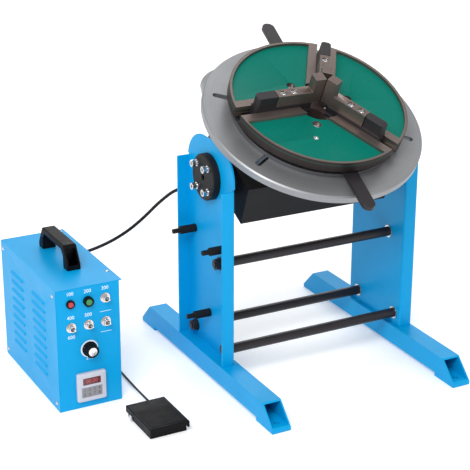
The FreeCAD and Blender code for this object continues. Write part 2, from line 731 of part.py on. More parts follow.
def gland_base_y():
    """Where the leaning gland meets the housing floor."""
    return HOUSING_BELOW * math.tan(math.radians(GLAND_ANGLE))


def gland_way():
    """Unit vector from the tilt axis out through the gland, head frame."""
    angle = math.radians(GLAND_ANGLE)
    return V(0, math.sin(angle), -math.cos(angle))


def head_cable_gland():
    """Threaded nut on the housing floor with a tapered boot along the gland's lean."""
    foot = V(GLAND_X, gland_base_y(), -HOUSING_BELOW)
    nut = rod(GLAND_NUT_RADIUS, foot, foot - V(0, 0, GLAND_NUT))
    thread = rod(GLAND_NUT_RADIUS - GLAND_STEP, foot, foot + V(0, 0, HOUSING_WALL))
    way = gland_way()
    start = V(GLAND_X, 0, 0) + way * (HOUSING_BELOW / math.cos(math.radians(GLAND_ANGLE)) + GLAND_NUT / 2)
    tip = V(GLAND_X, 0, 0) + way * GLAND_REACH
    boot = Part.makeCone(HEAD_CORD, HEAD_CORD / 2 + GLAND_LIP, (tip - start).Length, start, way)
    return fuse([nut, thread, boot])


def toothed_wheel(teeth, width, tooth, phase):
    """Spur wheel: straight-flanked teeth, each a share of the pitch wide at the pitch circle."""
    pitch = GEAR_MODULE * teeth / 2
    tip, root = pitch + ADDENDUM * GEAR_MODULE, pitch - DEDENDUM * GEAR_MODULE
    step = 360.0 / teeth
    points = []
    for i in range(teeth):
        middle = i * step + phase
        for radius, share in ((root, -tooth - TOOTH_FOOT), (tip, -tooth + TOOTH_TAPER),
                              (tip, tooth - TOOTH_TAPER), (root, tooth + TOOTH_FOOT)):
            points.append(polar(radius, middle + share * step))
    return prism(points, V(0, 0, width))


def drive_gear():
    """Gear on the spindle, with a ring of lightening holes."""
    wheel = toothed_wheel(GEAR_TEETH, GEAR_WIDTH, TOOTH_SHARE, 0.0)
    wheel.translate(V(0, 0, GEAR_LEVEL))
    middle = (SPINDLE_RADIUS + GEAR_MODULE * GEAR_TEETH / 2 - 2 * GEAR_MODULE) / 2
    wheel = wheel.cut(rod(SPINDLE_RADIUS, V(0, 0, GEAR_LEVEL - 1), V(0, 0, GEAR_LEVEL + GEAR_WIDTH + 1)))
    for i in range(GEAR_HOLES):
        centre = polar(middle, 360.0 * (i + 0.5) / GEAR_HOLES, GEAR_LEVEL - 1)
        wheel = wheel.cut(rod(GEAR_HOLE_RADIUS, centre, centre + V(0, 0, GEAR_WIDTH + 2)))
    return wheel


def drive_pinion():
    """Pinion and the output shaft of the gearbox in one piece."""
    wheel = toothed_wheel(PINION_TEETH, GEAR_WIDTH + 2, TOOTH_SHARE, 180.0 / PINION_TEETH)
    wheel.translate(V(-GEAR_DISTANCE, 0, GEAR_LEVEL - 1))
    low = -HOUSING_BELOW + HOUSING_WALL + OUTPUT_FLOOR
    shaft = rod(OUTPUT_RADIUS, V(-GEAR_DISTANCE, 0, low + OUTPUT_END_GAP), V(-GEAR_DISTANCE, 0, GEAR_LEVEL))
    return fuse([wheel, shaft])


def head():
    """Nodes of the tilting head, in the world frame."""
    nodes = {
        "head_housing": head_housing(),
        "head_cover": head_cover(),
        "trunnions": both_sides([left_trunnion()]),
        "trunnion_screws": head_screws(),
        "spindle_bushes": spindle_bushes(),
        "gearbox": gearbox(),
        "gear_motor": gear_motor(),
        "head_cable_gland": head_cable_gland(),
        "drive_pinion": drive_pinion(),
    }
    return {name: in_world(shape) for name, shape in nodes.items()}


# ================================================================ table and chuck
def at_table(shape):
    """From heights above the table face to the head frame."""
    copy = shape.copy()
    copy.translate(V(0, 0, TABLE_RISE))
    return copy


def spindle():
    """Hollow spindle with a flange let into the table, a shoulder under it and a threaded tail."""
    tail = -TABLE_RISE - HOUSING_BELOW - BUSH_FLANGE - SPINDLE_NUT
    body = rod(SPINDLE_RADIUS, V(0, 0, tail), V(0, 0, 0))
    flange = rod(SPINDLE_FLANGE_RADIUS, V(0, 0, -SPINDLE_FLANGE), V(0, 0, 0))
    shape = fuse([body, flange]).cut(rod(SPINDLE_BORE, V(0, 0, tail - 1), V(0, 0, 1)))
    for point in flange_screw_places():
        shape = shape.cut(rod(FLANGE_SCREW_RADIUS, point - V(0, 0, SPINDLE_FLANGE + 1), point + V(0, 0, 1)))
        shape = shape.cut(rod(FLANGE_SCREW_HEAD, point - V(0, 0, FLANGE_SCREW_SINK), point + V(0, 0, 1)))
    return shape


def flange_screw_places():
    """Screws of the spindle flange, between the jaws' directions."""
    return [polar(FLANGE_SCREW_CIRCLE, 30 + 60 * i) for i in range(6)]


def mount_places():
    """Bolts that hold the chuck to the table, midway between the jaws."""
    return [polar(MOUNT_CIRCLE, angle + 60) for angle in JAW_ANGLES]


def plug_place():
    """Locating screw in the front floor."""
    return polar(PLUG_CIRCLE, PLUG_ANGLE)


def table_screws():
    """Flange screws, chuck mounting bolts and the locating screw, all with sockets."""
    pieces = []
    seat = BACK_PLATE + MOUNT_SEAT
    for point in flange_screw_places():
        head = rod(FLANGE_SCREW_HEAD - HEAD_GAP, point - V(0, 0, FLANGE_SCREW_SINK), point)
        shank = rod(FLANGE_SCREW_RADIUS, point - V(0, 0, TABLE_THICKNESS), point - V(0, 0, FLANGE_SCREW_SINK))
        socket = hexagon(FLANGE_SCREW_HEAD, point - V(0, 0, FLANGE_SCREW_SINK / 2), point)
        pieces.append(fuse([head, shank]).cut(socket))
    for point in mount_places():
        head = rod(MOUNT_RADIUS - HEAD_GAP, point + V(0, 0, seat), point + V(0, 0, seat + MOUNT_HEAD))
        shank = rod(MOUNT_BOLT_RADIUS, point - V(0, 0, TABLE_THICKNESS), point + V(0, 0, seat))
        top = point + V(0, 0, seat + MOUNT_HEAD)
        socket = hexagon(MOUNT_RADIUS, top - V(0, 0, MOUNT_HEAD / 2), top)
        pieces.append(fuse([head, shank]).cut(socket))
    low = plug_place() + V(0, 0, CAVITY_TOP + PLUG_SEAT)
    high = plug_place() + V(0, 0, CHUCK_FLOOR + PLUG_RISE)
    socket = hexagon(PLUG_RADIUS, high - V(0, 0, 2 * PLUG_RISE), high)
    pieces.append(rod(PLUG_RADIUS, low, high).cut(socket))
    return group(pieces)


def spindle_shoulder():
    """Thrust collar between the table and the upper bush."""
    top = -TABLE_THICKNESS
    return pipe(SHOULDER_RADIUS, SPINDLE_RADIUS, V(0, 0, top - SHOULDER), V(0, 0, top))


def spindle_nut():
    """Slotted ring nut under the lower bush."""
    top = -TABLE_RISE - HOUSING_BELOW - BUSH_FLANGE
    nut = pipe(SPINDLE_NUT_RADIUS, SPINDLE_RADIUS, V(0, 0, top), V(0, 0, top - SPINDLE_NUT))
    for i in range(4):
        notch = block(SPINDLE_NUT_RADIUS - 4, SPINDLE_NUT_RADIUS + 1, -3, 3, top - SPINDLE_NUT - 1, top + 1)
        nut = nut.cut(turned(notch, 90 * i))
    return nut


def worktable():
    """Turned plate with radial slots, open at the middle for the spindle."""
    plate = rod(TABLE_RADIUS, V(0, 0, -TABLE_THICKNESS), V(0, 0, 0))
    rim = [e for e in plate.Edges if abs(e.BoundBox.ZMin) < 0.01 and abs(e.BoundBox.ZMax) < 0.01]
    plate = plate.makeChamfer(TABLE_CHAMFER, rim)
    plate = plate.cut(rod(SPINDLE_RADIUS, V(0, 0, -TABLE_THICKNESS - 1), V(0, 0, 1)))
    plate = plate.cut(rod(SPINDLE_FLANGE_RADIUS, V(0, 0, -SPINDLE_FLANGE), V(0, 0, 1)))
    for point in flange_screw_places():
        plate = plate.cut(rod(FLANGE_SCREW_RADIUS, point - V(0, 0, TABLE_THICKNESS + 1), point))
    for point in mount_places():
        plate = plate.cut(rod(MOUNT_BOLT_RADIUS, point - V(0, 0, TABLE_THICKNESS + 1), point + V(0, 0, 1)))
    slot = long_slot(SLOT_INNER, SLOT_OUTER, SLOT_WIDTH, -TABLE_THICKNESS - 1, 1)
    for i in range(TABLE_SLOTS):
        plate = plate.cut(turned(slot, 30 + 360.0 * i / TABLE_SLOTS))
    return plate


def long_slot(inner, outer, width, low, high):
    """Round-ended bar along X between two radii."""
    radius = width / 2
    ends = [rod(radius, V(x, 0, low), V(x, 0, high)) for x in (inner + radius, outer - radius)]
    return fuse([block(inner + radius, outer - radius, -radius, radius, low, high)] + ends)


def chuck_back_plate():
    """Ring between the chuck and the table."""
    plate = pipe(BACK_PLATE_RADIUS, CHUCK_BORE, V(0, 0, 0), V(0, 0, BACK_PLATE))
    for point in mount_places():
        plate = plate.cut(rod(MOUNT_BOLT_RADIUS, point - V(0, 0, 1), point + V(0, 0, BACK_PLATE + 1)))
    return plate


def chuck_body():
    """Chuck: hub and rimmed disc, three sunk floors between pairs of guide rails, T-slots for jaws."""
    disc = rod(CHUCK_RADIUS, V(0, 0, CHUCK_BASE), V(0, 0, CHUCK_TOP))
    hub = rod(HUB_RADIUS, V(0, 0, BACK_PLATE), V(0, 0, CHUCK_BASE))
    body = fuse([disc, hub])
    body = body.cut(pipe(CAVITY_RADIUS, HUB_RADIUS, V(0, 0, CHUCK_BASE - 1), V(0, 0, CAVITY_TOP)))
    sunk = pipe(CHUCK_RADIUS - CHUCK_RIM, CHUCK_BORE - 1, V(0, 0, CHUCK_FLOOR), V(0, 0, CHUCK_TOP + 1))
    for angle in JAW_ANGLES:
        rails = block(0, CHUCK_RADIUS, -GUIDE_HALF, GUIDE_HALF, CHUCK_FLOOR - 1, CHUCK_TOP + 2)
        sunk = sunk.cut(turned(rails, angle))
    body = body.cut(sunk)
    for angle in JAW_ANGLES:
        for half, low, high in ((JAW_SLOT / 2, CHUCK_BASE - 1, CHUCK_TOP + 1),
                                (WING_SLOT / 2, WING_LOW, WING_HIGH)):
            body = body.cut(turned(block(0, CHUCK_RADIUS + 1, -half, half, low, high), angle))
    body = body.cut(rod(CHUCK_BORE, V(0, 0, BACK_PLATE - 1), V(0, 0, CHUCK_TOP + 1)))
    for point in mount_places():
        seat = point + V(0, 0, BACK_PLATE + MOUNT_SEAT)
        body = body.cut(rod(MOUNT_RADIUS, seat, point + V(0, 0, CHUCK_TOP + 1)))
        body = body.cut(rod(MOUNT_BOLT_RADIUS, point, point + V(0, 0, BACK_PLATE + MOUNT_SEAT)))
    low, high = V(0, 0, CAVITY_TOP + PLUG_SEAT), V(0, 0, CHUCK_TOP)
    return body.cut(rod(PLUG_RADIUS, plug_place() + low, plug_place() + high))


def spiral_ridge():
    """Flat spiral rib in quarter-turn arcs: its radius grows by one pitch for each turn with the clock."""
    quarters = int(RIDGE_TURNS * 4)

    def at(offset, quarter):
        return polar(RIDGE_START + offset + SCROLL_PITCH * quarter / 4, -90.0 * quarter, SCROLL_FACE)

    def edge(offset):
        return [Part.Arc(at(offset, i), at(offset, i + 0.5), at(offset, i + 1)).toShape()
                for i in range(quarters)]

    inner, outer = -RIDGE_WIDTH / 2, RIDGE_WIDTH / 2
    ends = [Part.makeLine(at(inner, i), at(outer, i)) for i in (0, quarters)]
    wire = Part.Wire(Part.sortEdges(edge(inner) + edge(outer) + ends)[0])
    return Part.Face(wire).extrude(V(0, 0, RIDGE_HEIGHT))


def scroll_ring():
    """Ring round the hub with the spiral rib on its face and sockets for the two levers."""
    ring = pipe(SCROLL_RADIUS, HUB_RADIUS + FIT, V(0, 0, SCROLL_BASE), V(0, 0, SCROLL_FACE - 0.2))
    socket = block(LEVER_ROOT, SCROLL_RADIUS + 1, -LEVER_WIDTH / 2, LEVER_WIDTH / 2,
                   LEVER_LEVEL, LEVER_LEVEL + LEVER_THICKNESS)
    for turn in (0, 180):
        ring = ring.cut(turned(socket, LEVER_ANGLE + turn))
    rib = spiral_ridge()
    rib.translate(V(0, 0, -0.2))
    return ring.fuse(rib)


def scroll_levers():
    """Two flat levers with round ends, opposite each other."""
    radius = LEVER_WIDTH / 2
    low, high = LEVER_LEVEL, LEVER_LEVEL + LEVER_THICKNESS
    bar = block(LEVER_ROOT, LEVER_REACH - radius, -radius, radius, low, high)
    end = rod(radius, V(LEVER_REACH - radius, 0, low), V(LEVER_REACH - radius, 0, high))
    lever = fuse([bar, end])
    return group([turned(lever, LEVER_ANGLE), turned(lever, LEVER_ANGLE + 180)])


def first_tooth(angle):
    """Radius of the groove nearest the hub that a jaw at this angle can reach."""
    groove = RIDGE_START + SCROLL_PITCH / 2 + SCROLL_PITCH * ((-angle % 360) / 360.0)
    return groove - SCROLL_PITCH if groove - SCROLL_PITCH > HUB_RADIUS - 4 else groove


def master_jaw(angle):
    """Base jaw along X: guided wings, raised outer block and rack teeth for the scroll."""
    half = JAW_SLOT / 2 - SLIDE_GAP
    wing = WING_SLOT / 2 - SLIDE_GAP
    stem = block(MASTER_INNER, MASTER_OUTER, -half, half, MASTER_BOTTOM, MASTER_TOP)
    wings = block(MASTER_INNER, MASTER_OUTER, -wing, wing, WING_LOW + SLIDE_GAP, WING_HIGH - SLIDE_GAP)
    split = TOP_JAW_OUTER + SPLIT_GAP
    raised = block(split, MASTER_OUTER, -JAW_WIDTH / 2, JAW_WIDTH / 2, MASTER_TOP, JAW_TOP)
    corners = [e for e in raised.Edges if e.BoundBox.ZLength > JAW_TOP - MASTER_TOP - 0.01
               and e.BoundBox.XMin > MASTER_OUTER - 0.01]
    raised = raised.makeChamfer(4, corners)
    pieces = [stem, wings, raised]
    strip = block(0, MASTER_OUTER, -TOOTH_HALF, TOOTH_HALF, TOOTH_TIP, MASTER_BOTTOM)
    for i in range(TEETH):
        middle = first_tooth(angle) + SCROLL_PITCH * i
        outer, inner = middle + TOOTH_WIDTH / 2, middle - TOOTH_WIDTH / 2
        arc = pipe(outer, inner, V(0, 0, TOOTH_TIP), V(0, 0, MASTER_BOTTOM))
        pieces.append(arc.common(strip))
    jaw = fuse(pieces)
    for x in JAW_SCREWS:
        jaw = jaw.cut(rod(JAW_SCREW_RADIUS / 2 + 1, V(x, 0, MASTER_TOP - 12), V(x, 0, MASTER_TOP + 1)))
    return jaw


def top_jaw():
    """Gripping jaw along X: low bar with a tall step at the middle of the chuck."""
    outline = [V(JAW_INNER, 0, MASTER_TOP), V(TOP_JAW_OUTER, 0, MASTER_TOP), V(TOP_JAW_OUTER, 0, JAW_TOP),
               V(TALL_OUTER, 0, JAW_TOP), V(TALL_OUTER, 0, TALL_TOP), V(JAW_INNER, 0, TALL_TOP)]
    jaw = prism(outline, V(0, JAW_WIDTH, 0))
    jaw.translate(V(0, -JAW_WIDTH / 2, 0))
    for x in JAW_SCREWS:
        jaw = jaw.cut(rod(JAW_SCREW_RADIUS, V(x, 0, JAW_TOP - 10), V(x, 0, JAW_TOP + 1)))
        jaw = jaw.cut(rod(JAW_SCREW_RADIUS / 2 + 1, V(x, 0, MASTER_TOP - 1), V(x, 0, JAW_TOP)))
    return jaw


def jaw_screws():
    """Two socket screws that hold the gripping jaw to its base jaw, along X."""
    pieces = []
    for x in JAW_SCREWS:
        head = rod(JAW_SCREW_RADIUS - 0.1, V(x, 0, JAW_TOP - 10), V(x, 0, JAW_TOP - JAW_SCREW_SINK))
        shank = rod(JAW_SCREW_RADIUS / 2 + 1, V(x, 0, MASTER_TOP - 12), V(x, 0, JAW_TOP - 10))
        socket = hexagon(JAW_SCREW_RADIUS, V(x, 0, JAW_TOP - 6), V(x, 0, JAW_TOP))
        pieces.append(fuse([head, shank]).cut(socket))
    return group(pieces)


def table():
    """Nodes of the turning table and its chuck, in the world frame."""
    nodes = {
        "spindle": spindle(),
        "spindle_rings": group([spindle_shoulder(), spindle_nut()]),
        "worktable": worktable(),
        "table_screws": table_screws(),
        "chuck_back_plate": chuck_back_plate(),
        "chuck_body": chuck_body(),
        "scroll_ring": scroll_ring(),
        "scroll_levers": scroll_levers(),
    }
    for number, angle in enumerate(JAW_ANGLES, 1):
        nodes[f"master_jaw_{number}"] = turned(master_jaw(angle), angle)
        nodes[f"top_jaw_{number}"] = turned(top_jaw(), angle)
        nodes[f"jaw_screws_{number}"] = turned(jaw_screws(), angle)
    placed = {name: in_world(at_table(shape)) for name, shape in nodes.items()}
    placed["drive_gear"] = in_world(drive_gear())
    return placed


# ================================================================ control box
def columns():
    """X of the three columns of controls."""
    return [BOX_MIDDLE - COLUMN_PITCH, BOX_MIDDLE, BOX_MIDDLE + COLUMN_PITCH]


def toggle_places():
    """Centres (x, z) of the four toggle switches."""
    left, middle, right = columns()
    return [(right, UPPER_ROW), (left, LOWER_ROW), (middle, LOWER_ROW), (right, LOWER_ROW)]


def case_body():
    """Front, floor, rear and right wall of the case, with the panel cut-outs."""
    t = BOX_SHEET
    walls = [
        block(BOX_X + t, BOX_RIGHT, BOX_Y, BOX_Y + t, 0, BOX_HEIGHT - t),
        block(BOX_X + t, BOX_RIGHT, BOX_REAR - t, BOX_REAR, 0, BOX_HEIGHT - t),
        block(BOX_X + t, BOX_RIGHT, BOX_Y, BOX_REAR, 0, t),
        block(BOX_RIGHT - t, BOX_RIGHT, BOX_Y, BOX_REAR, 0, BOX_HEIGHT - t),
    ]
    body = fuse(walls)
    left, middle, right = columns()

    def front_hole(radius, x, z):
        return rod(radius, V(x, BOX_Y - 1, z), V(x, BOX_Y + t + 1, z))

    def rear_hole(radius, x, z):
        return rod(radius, V(x, BOX_REAR - t - 1, z), V(x, BOX_REAR + 1, z))

    holes = [front_hole(radius + CAP_GAP + NECK_WALL, x, UPPER_ROW)
             for x, radius in ((left, LAMP_RADIUS), (middle, BUTTON_RADIUS))]
    holes += [front_hole(SWITCH_BUSH_RADIUS, x, z) for x, z in toggle_places()]
    holes.append(front_hole(3.5, middle, KNOB_ROW))
    half = TIMER_BODY / 2
    holes.append(block(middle - half, middle + half, BOX_Y - 1, BOX_Y + t + 1,
                       TIMER_ROW - half, TIMER_ROW + half))
    holes.append(rear_hole(7, *HEAD_OUTLET))
    holes.append(rear_hole(5, *PEDAL_OUTLET))
    x, z = INLET_PLACE
    holes.append(block(x - 14, x + 14, BOX_REAR - t - 1, BOX_REAR + 1, z - 10, z + 10))
    for hole in holes:
        body = body.cut(hole)
    return body


def louvre(y, z):
    """Pressed louvre on the left wall: a shallow hood over a slit."""
    hood = [V(BOX_X, y, z), V(BOX_X - LOUVRE_DEPTH, y, z), V(BOX_X, y, z + LOUVRE_HEIGHT)]
    slit = block(BOX_X - 0.1, BOX_X + BOX_SHEET + 1, y + 2, y + LOUVRE_LENGTH - 2, z + 0.4, z + 1.6)
    return prism(hood, V(0, LOUVRE_LENGTH, 0)), slit


def case_cover():
    """Top and left side in one sheet, overhanging the right wall, with two columns of louvres."""
    t = BOX_SHEET
    side = block(BOX_X, BOX_X + t, BOX_Y, BOX_REAR, 0, BOX_HEIGHT)
    top = block(BOX_X, BOX_RIGHT + LID_OVERHANG, BOX_Y - 0.5, BOX_REAR, BOX_HEIGHT - t, BOX_HEIGHT)
    hoods, slits = [], []
    for front in LOUVRE_FRONTS:
        for row in range(LOUVRE_ROWS):
            hood, slit = louvre(BOX_Y + front, LOUVRE_LOW + LOUVRE_PITCH * row)
            hoods.append(hood)
            slits.append(slit)
    cover = fuse([side, top] + hoods)
    return cover.cut(group(slits))


def pan_head(radius, height, base, way):
    """Low domed screw head on a face."""
    return Part.makeCone(radius, radius * 0.6, height, base, way)


def case_screws():
    """Screw heads on the left side, along the lid's right edge, and in the handle's pockets."""
    pieces = []
    for y in (BOX_Y + SIDE_SCREW_INSET, BOX_REAR - SIDE_SCREW_INSET):
        for z in (SIDE_SCREW_INSET, BOX_HEIGHT - SIDE_SCREW_INSET):
            pieces.append(pan_head(SCREW_RADIUS, SCREW_HEIGHT, V(BOX_X, y, z), V(-1, 0, 0)))
    for y in (BOX_Y + LID_SCREW_FRONT, BOX_REAR - SIDE_SCREW_INSET):
        place = V(BOX_RIGHT - LID_SCREW_INSET, y, BOX_HEIGHT)
        pieces.append(pan_head(SCREW_RADIUS, SCREW_HEIGHT, place, Z_AXIS))
    for end, side in zip(handle_places(), (1, -1)):
        place = V(HANDLE_X, end + side * HANDLE_FOOT * 0.4, BOX_HEIGHT + POCKET_FLOOR)
        pieces.append(pan_head(SCREW_RADIUS, SCREW_HEIGHT, place, Z_AXIS))
    return group(pieces)


def handle_places():
    """Front and rear ends of the handle's base."""
    front = BOX_Y + HANDLE_FRONT
    return front, front + HANDLE_LENGTH


def case_handle():
    """Bow handle: leaning ends with a screw pocket in each, and a straight grip."""
    y0, y1 = handle_places()
    z0, z1 = BOX_HEIGHT, BOX_HEIGHT + HANDLE_RISE
    half = HANDLE_WIDTH / 2
    under = z1 - HANDLE_GRIP
    bend = HANDLE_SLOPE + HANDLE_GRIP
    ends = [V(0, y0, z0), V(0, y0 + HANDLE_FOOT, z0), V(0, y0 + HANDLE_FOOT, under - HANDLE_GRIP),
            V(0, y0 + bend, under)]
    tops = [V(0, y1 - HANDLE_SLOPE, z1), V(0, y0 + HANDLE_SLOPE, z1), V(0, y0, z0 + HANDLE_SLOPE / 2)]
    middle = (y0 + y1) / 2
    mirrored = [V(0, 2 * middle - p.y, p.z) for p in reversed(ends)]
    outline = ends + mirrored + [V(0, y1, z0 + HANDLE_SLOPE / 2)] + tops
    bow = prism(outline, V(HANDLE_WIDTH, 0, 0))
    bow.translate(V(HANDLE_X - half, 0, 0))
    grip = [e for e in bow.Edges
            if e.BoundBox.YLength > HANDLE_LENGTH / 2 and e.BoundBox.ZMin > z1 - 0.01]
    bow = bow.makeFillet(3, grip)
    back = HANDLE_FOOT - HANDLE_CHEEK
    pocket = [V(0, -1, z0 + POCKET_FLOOR), V(0, back, z0 + POCKET_FLOOR),
              V(0, back + 2, z1 - POCKET_CROWN), V(0, -1, z1 - POCKET_CROWN)]
    for side, start in ((1, y0), (-1, y1)):
        points = [V(0, start + side * p.y, p.z) for p in pocket]
        hollow = prism(points, V(HANDLE_WIDTH - 2 * HANDLE_CHEEK, 0, 0))
        hollow.translate(V(HANDLE_X - half + HANDLE_CHEEK, 0, 0))
        bow = bow.cut(hollow)
    return bow


def bezel(x, cap_radius, ring):
    """Black ring round a cap, with its threaded neck in the panel and its body behind."""
    ring_radius, height = ring
    bore = cap_radius + CAP_GAP
    rear = BOX_Y + BOX_SHEET
    collar = pipe(ring_radius, bore, V(x, BOX_Y - height, UPPER_ROW), V(x, BOX_Y, UPPER_ROW))
    neck = pipe(bore + NECK_WALL, bore, V(x, BOX_Y, UPPER_ROW), V(x, rear, UPPER_ROW))
    body = rod(ring_radius, V(x, rear, UPPER_ROW), V(x, BOX_Y + LAMP_BODY, UPPER_ROW))
    body = body.cut(rod(bore, V(x, BOX_Y, UPPER_ROW), V(x, BOX_Y + CAP_BACK + CAP_STROKE, UPPER_ROW)))
    return fuse([collar, neck, body])


def panel_bezels():
    """Bezels of the pilot lamp and the push button."""
    left, middle, _ = columns()
    return group([bezel(left, LAMP_RADIUS, LAMP_RING), bezel(middle, BUTTON_RADIUS, BUTTON_RING)])


def cap(x, radius, ring):
    """Round cap in a bezel, rounded at the front, from its back face inside the body."""
    front = BOX_Y - ring[1] - CAP_RISE
    piece = rod(radius, V(x, front, UPPER_ROW), V(x, BOX_Y + CAP_BACK, UPPER_ROW))
    rim = [e for e in piece.Edges if abs(e.BoundBox.YMax - front) < 0.01]
    return piece.makeFillet(CAP_ROUND, rim)


def toggle_bodies():
    """Threaded bush, dress washer, hexagon nut and switch body of each toggle."""
    pieces = []
    for x, z in toggle_places():
        bush = rod(SWITCH_BUSH_RADIUS, V(x, BOX_Y - SWITCH_BUSH, z), V(x, BOX_Y + BOX_SHEET, z))
        washer = rod(SWITCH_WASHER_RADIUS, V(x, BOX_Y, z), V(x, BOX_Y - SWITCH_WASHER, z))
        nut_back = BOX_Y - SWITCH_WASHER
        nut = hexagon(SWITCH_NUT_ACROSS, V(x, nut_back, z), V(x, nut_back - SWITCH_NUT, z))
        body = block(x - 6.5, x + 6.5, BOX_Y + BOX_SHEET, BOX_Y + 22, z - 9, z + 9)
        centre = V(x, BOX_Y - SWITCH_BUSH + 3.5, z)
        pocket = Part.makeSphere(TOGGLE_BALL + 0.3, centre)
        mouth = Part.makeCone(TOGGLE_BALL, TOGGLE_BALL + 2.2, 5, centre, V(0, -1, 0))
        pieces.append(fuse([bush, washer, nut, body]).cut(pocket).cut(mouth))
    return pieces


def toggle_lever(x, z):
    """Toggle lever with its ball in the bush, leaning up."""
    centre = V(x, BOX_Y - SWITCH_BUSH + 3.5, z)
    ball = Part.makeSphere(TOGGLE_BALL, centre)
    stem = Part.makeCone(1.3, 1.9, TOGGLE_LENGTH, centre, V(0, -1, 0))
    end = Part.makeSphere(1.9, centre + V(0, -TOGGLE_LENGTH, 0))
    return turned(fuse([ball, stem, end]), TOGGLE_LEAN, X_AXIS, centre)


def speed_knob():
    """Skirted knob with a raised cap, and the potentiometer spindle it is fixed on."""
    x = BOX_MIDDLE
    back = BOX_Y - KNOB_GAP
    front = back - KNOB_HEIGHT
    foot = V(x, back, KNOB_ROW)
    skirt = Part.makeCone(KNOB_RADIUS, KNOB_RADIUS - 1.2, KNOB_HEIGHT * 0.6, foot, V(0, -1, 0))
    grip = rod(KNOB_RADIUS - 2.6, V(x, back - KNOB_HEIGHT * 0.6, KNOB_ROW), V(x, front + 1, KNOB_ROW))
    face = rod(KNOB_CAP_RADIUS, V(x, front + 1, KNOB_ROW), V(x, front, KNOB_ROW))
    stem = rod(3, V(x, back, KNOB_ROW), V(x, BOX_Y + 10, KNOB_ROW))
    return fuse([skirt, grip, face, stem])


def potentiometer():
    """Potentiometer behind the panel with its threaded neck."""
    x = BOX_MIDDLE
    body = rod(POT_RADIUS, V(x, BOX_Y + BOX_SHEET, KNOB_ROW), V(x, BOX_Y + 14, KNOB_ROW))
    neck = rod(3.5, V(x, BOX_Y, KNOB_ROW), V(x, BOX_Y + BOX_SHEET, KNOB_ROW))
    return fuse([body, neck]).cut(rod(3 + FIT, V(x, BOX_Y - 1, KNOB_ROW), V(x, BOX_Y + 10.5, KNOB_ROW)))


def panel_timer():
    """Square timer module: framed face with a window recess, and its body through the panel."""
    x, half = BOX_MIDDLE, TIMER_SIZE / 2
    frame = block(x - half, x + half, BOX_Y - TIMER_FRAME, BOX_Y, TIMER_ROW - half, TIMER_ROW + half)
    corners = [e for e in frame.Edges if e.BoundBox.YLength > TIMER_FRAME - 0.01]
    frame = frame.makeFillet(4, corners)
    face = [e for e in frame.Edges if abs(e.BoundBox.YMax - BOX_Y + TIMER_FRAME) < 0.01]
    frame = frame.makeChamfer(1.5, face)
    body = block(x - TIMER_BODY / 2, x + TIMER_BODY / 2, BOX_Y, BOX_Y + TIMER_DEPTH,
                 TIMER_ROW - TIMER_BODY / 2, TIMER_ROW + TIMER_BODY / 2)
    timer = fuse([frame, body])
    front = BOX_Y - TIMER_FRAME
    half_window, window_low, window_high = TIMER_WINDOW
    half_keypad, keypad_low, keypad_high = TIMER_KEYPAD
    window = block(x - half_window, x + half_window, front - 1, front + TIMER_RECESS,
                   TIMER_ROW + window_low, TIMER_ROW + window_high)
    keypad = block(x - half_keypad, x + half_keypad, front - 1, front + TIMER_RECESS,
                   TIMER_ROW + keypad_low, TIMER_ROW + keypad_high)
    return timer.cut(window).cut(keypad)


def control_board():
    """Circuit board on four standoffs with a transformer and a heat sink."""
    low = BOX_SHEET + 8
    x0, x1 = BOX_X + 12, BOX_RIGHT - 12
    y0, y1 = BOX_Y + 90, BOX_REAR - 40
    board = block(x0, x1, y0, y1, low, low + BOARD_THICKNESS)
    pieces = [board]
    for x in (x0 + 6, x1 - 6):
        for y in (y0 + 6, y1 - 6):
            pieces.append(rod(3, V(x, y, BOX_SHEET), V(x, y, low)))
    pieces.append(block(x0 + 10, x0 + 55, y1 - 60, y1 - 10, low + BOARD_THICKNESS, low + 45))
    pieces.append(block(x1 - 30, x1 - 8, y0 + 10, y0 + 70, low + BOARD_THICKNESS, low + 30))
    return fuse(pieces)


def rear_outlet(place, length, nut_radius, cord):
    """Cable gland on the rear panel: nut and tapered boot."""
    x, z = place
    start = V(x, BOX_REAR, z)
    neck = rod(nut_radius - 2, start - V(0, BOX_SHEET, 0), start)
    nut = rod(nut_radius, start, start + V(0, 5, 0))
    boot = Part.makeCone(nut_radius - 2.5, cord / 2 + 0.8, length - 5, start + V(0, 5, 0), Y_AXIS)
    return fuse([neck, nut, boot])


def mains_inlet():
    """Appliance inlet on the rear panel with its open socket and three pins."""
    x, z = INLET_PLACE
    flange = block(x - 20, x + 20, BOX_REAR, BOX_REAR + 2.5, z - 14, z + 14)
    body = block(x - 14, x + 14, BOX_REAR - 22, BOX_REAR, z - 10, z + 10)
    inlet = fuse([flange, body]).cut(block(x - 12, x + 12, BOX_REAR - 16, BOX_REAR + 3, z - 8, z + 8))
    pins = [block(x + dx - 2, x + dx + 2, BOX_REAR - 16, BOX_REAR - 2, z + dz - 1, z + dz + 1)
            for dx, dz in ((-7, -2), (0, 3), (7, -2))]
    return fuse([inlet] + pins)


def control_box():
    """Nodes of the control box."""
    left, middle, _ = columns()
    nodes = {
        "case_body": case_body(),
        "case_cover": case_cover(),
        "case_screws": case_screws(),
        "case_handle": case_handle(),
        "panel_bezels": panel_bezels(),
        "pilot_lamp": cap(left, LAMP_RADIUS, LAMP_RING),
        "push_button": cap(middle, BUTTON_RADIUS, BUTTON_RING),
        "switch_bodies": group(toggle_bodies() + [potentiometer()]),
        "speed_knob": speed_knob(),
        "panel_timer": panel_timer(),
        "control_board": control_board(),
        "cable_glands": group([rear_outlet(HEAD_OUTLET, GLAND_LENGTH, 9, HEAD_CORD),
                               rear_outlet(PEDAL_OUTLET, SMALL_GLAND_LENGTH, 7, PEDAL_CORD), pedal_boot()]),
        "mains_inlet": mains_inlet(),
    }
    for number, (x, z) in enumerate(toggle_places(), 1):
        nodes[f"toggle_lever_{number}"] = toggle_lever(x, z)
    return nodes


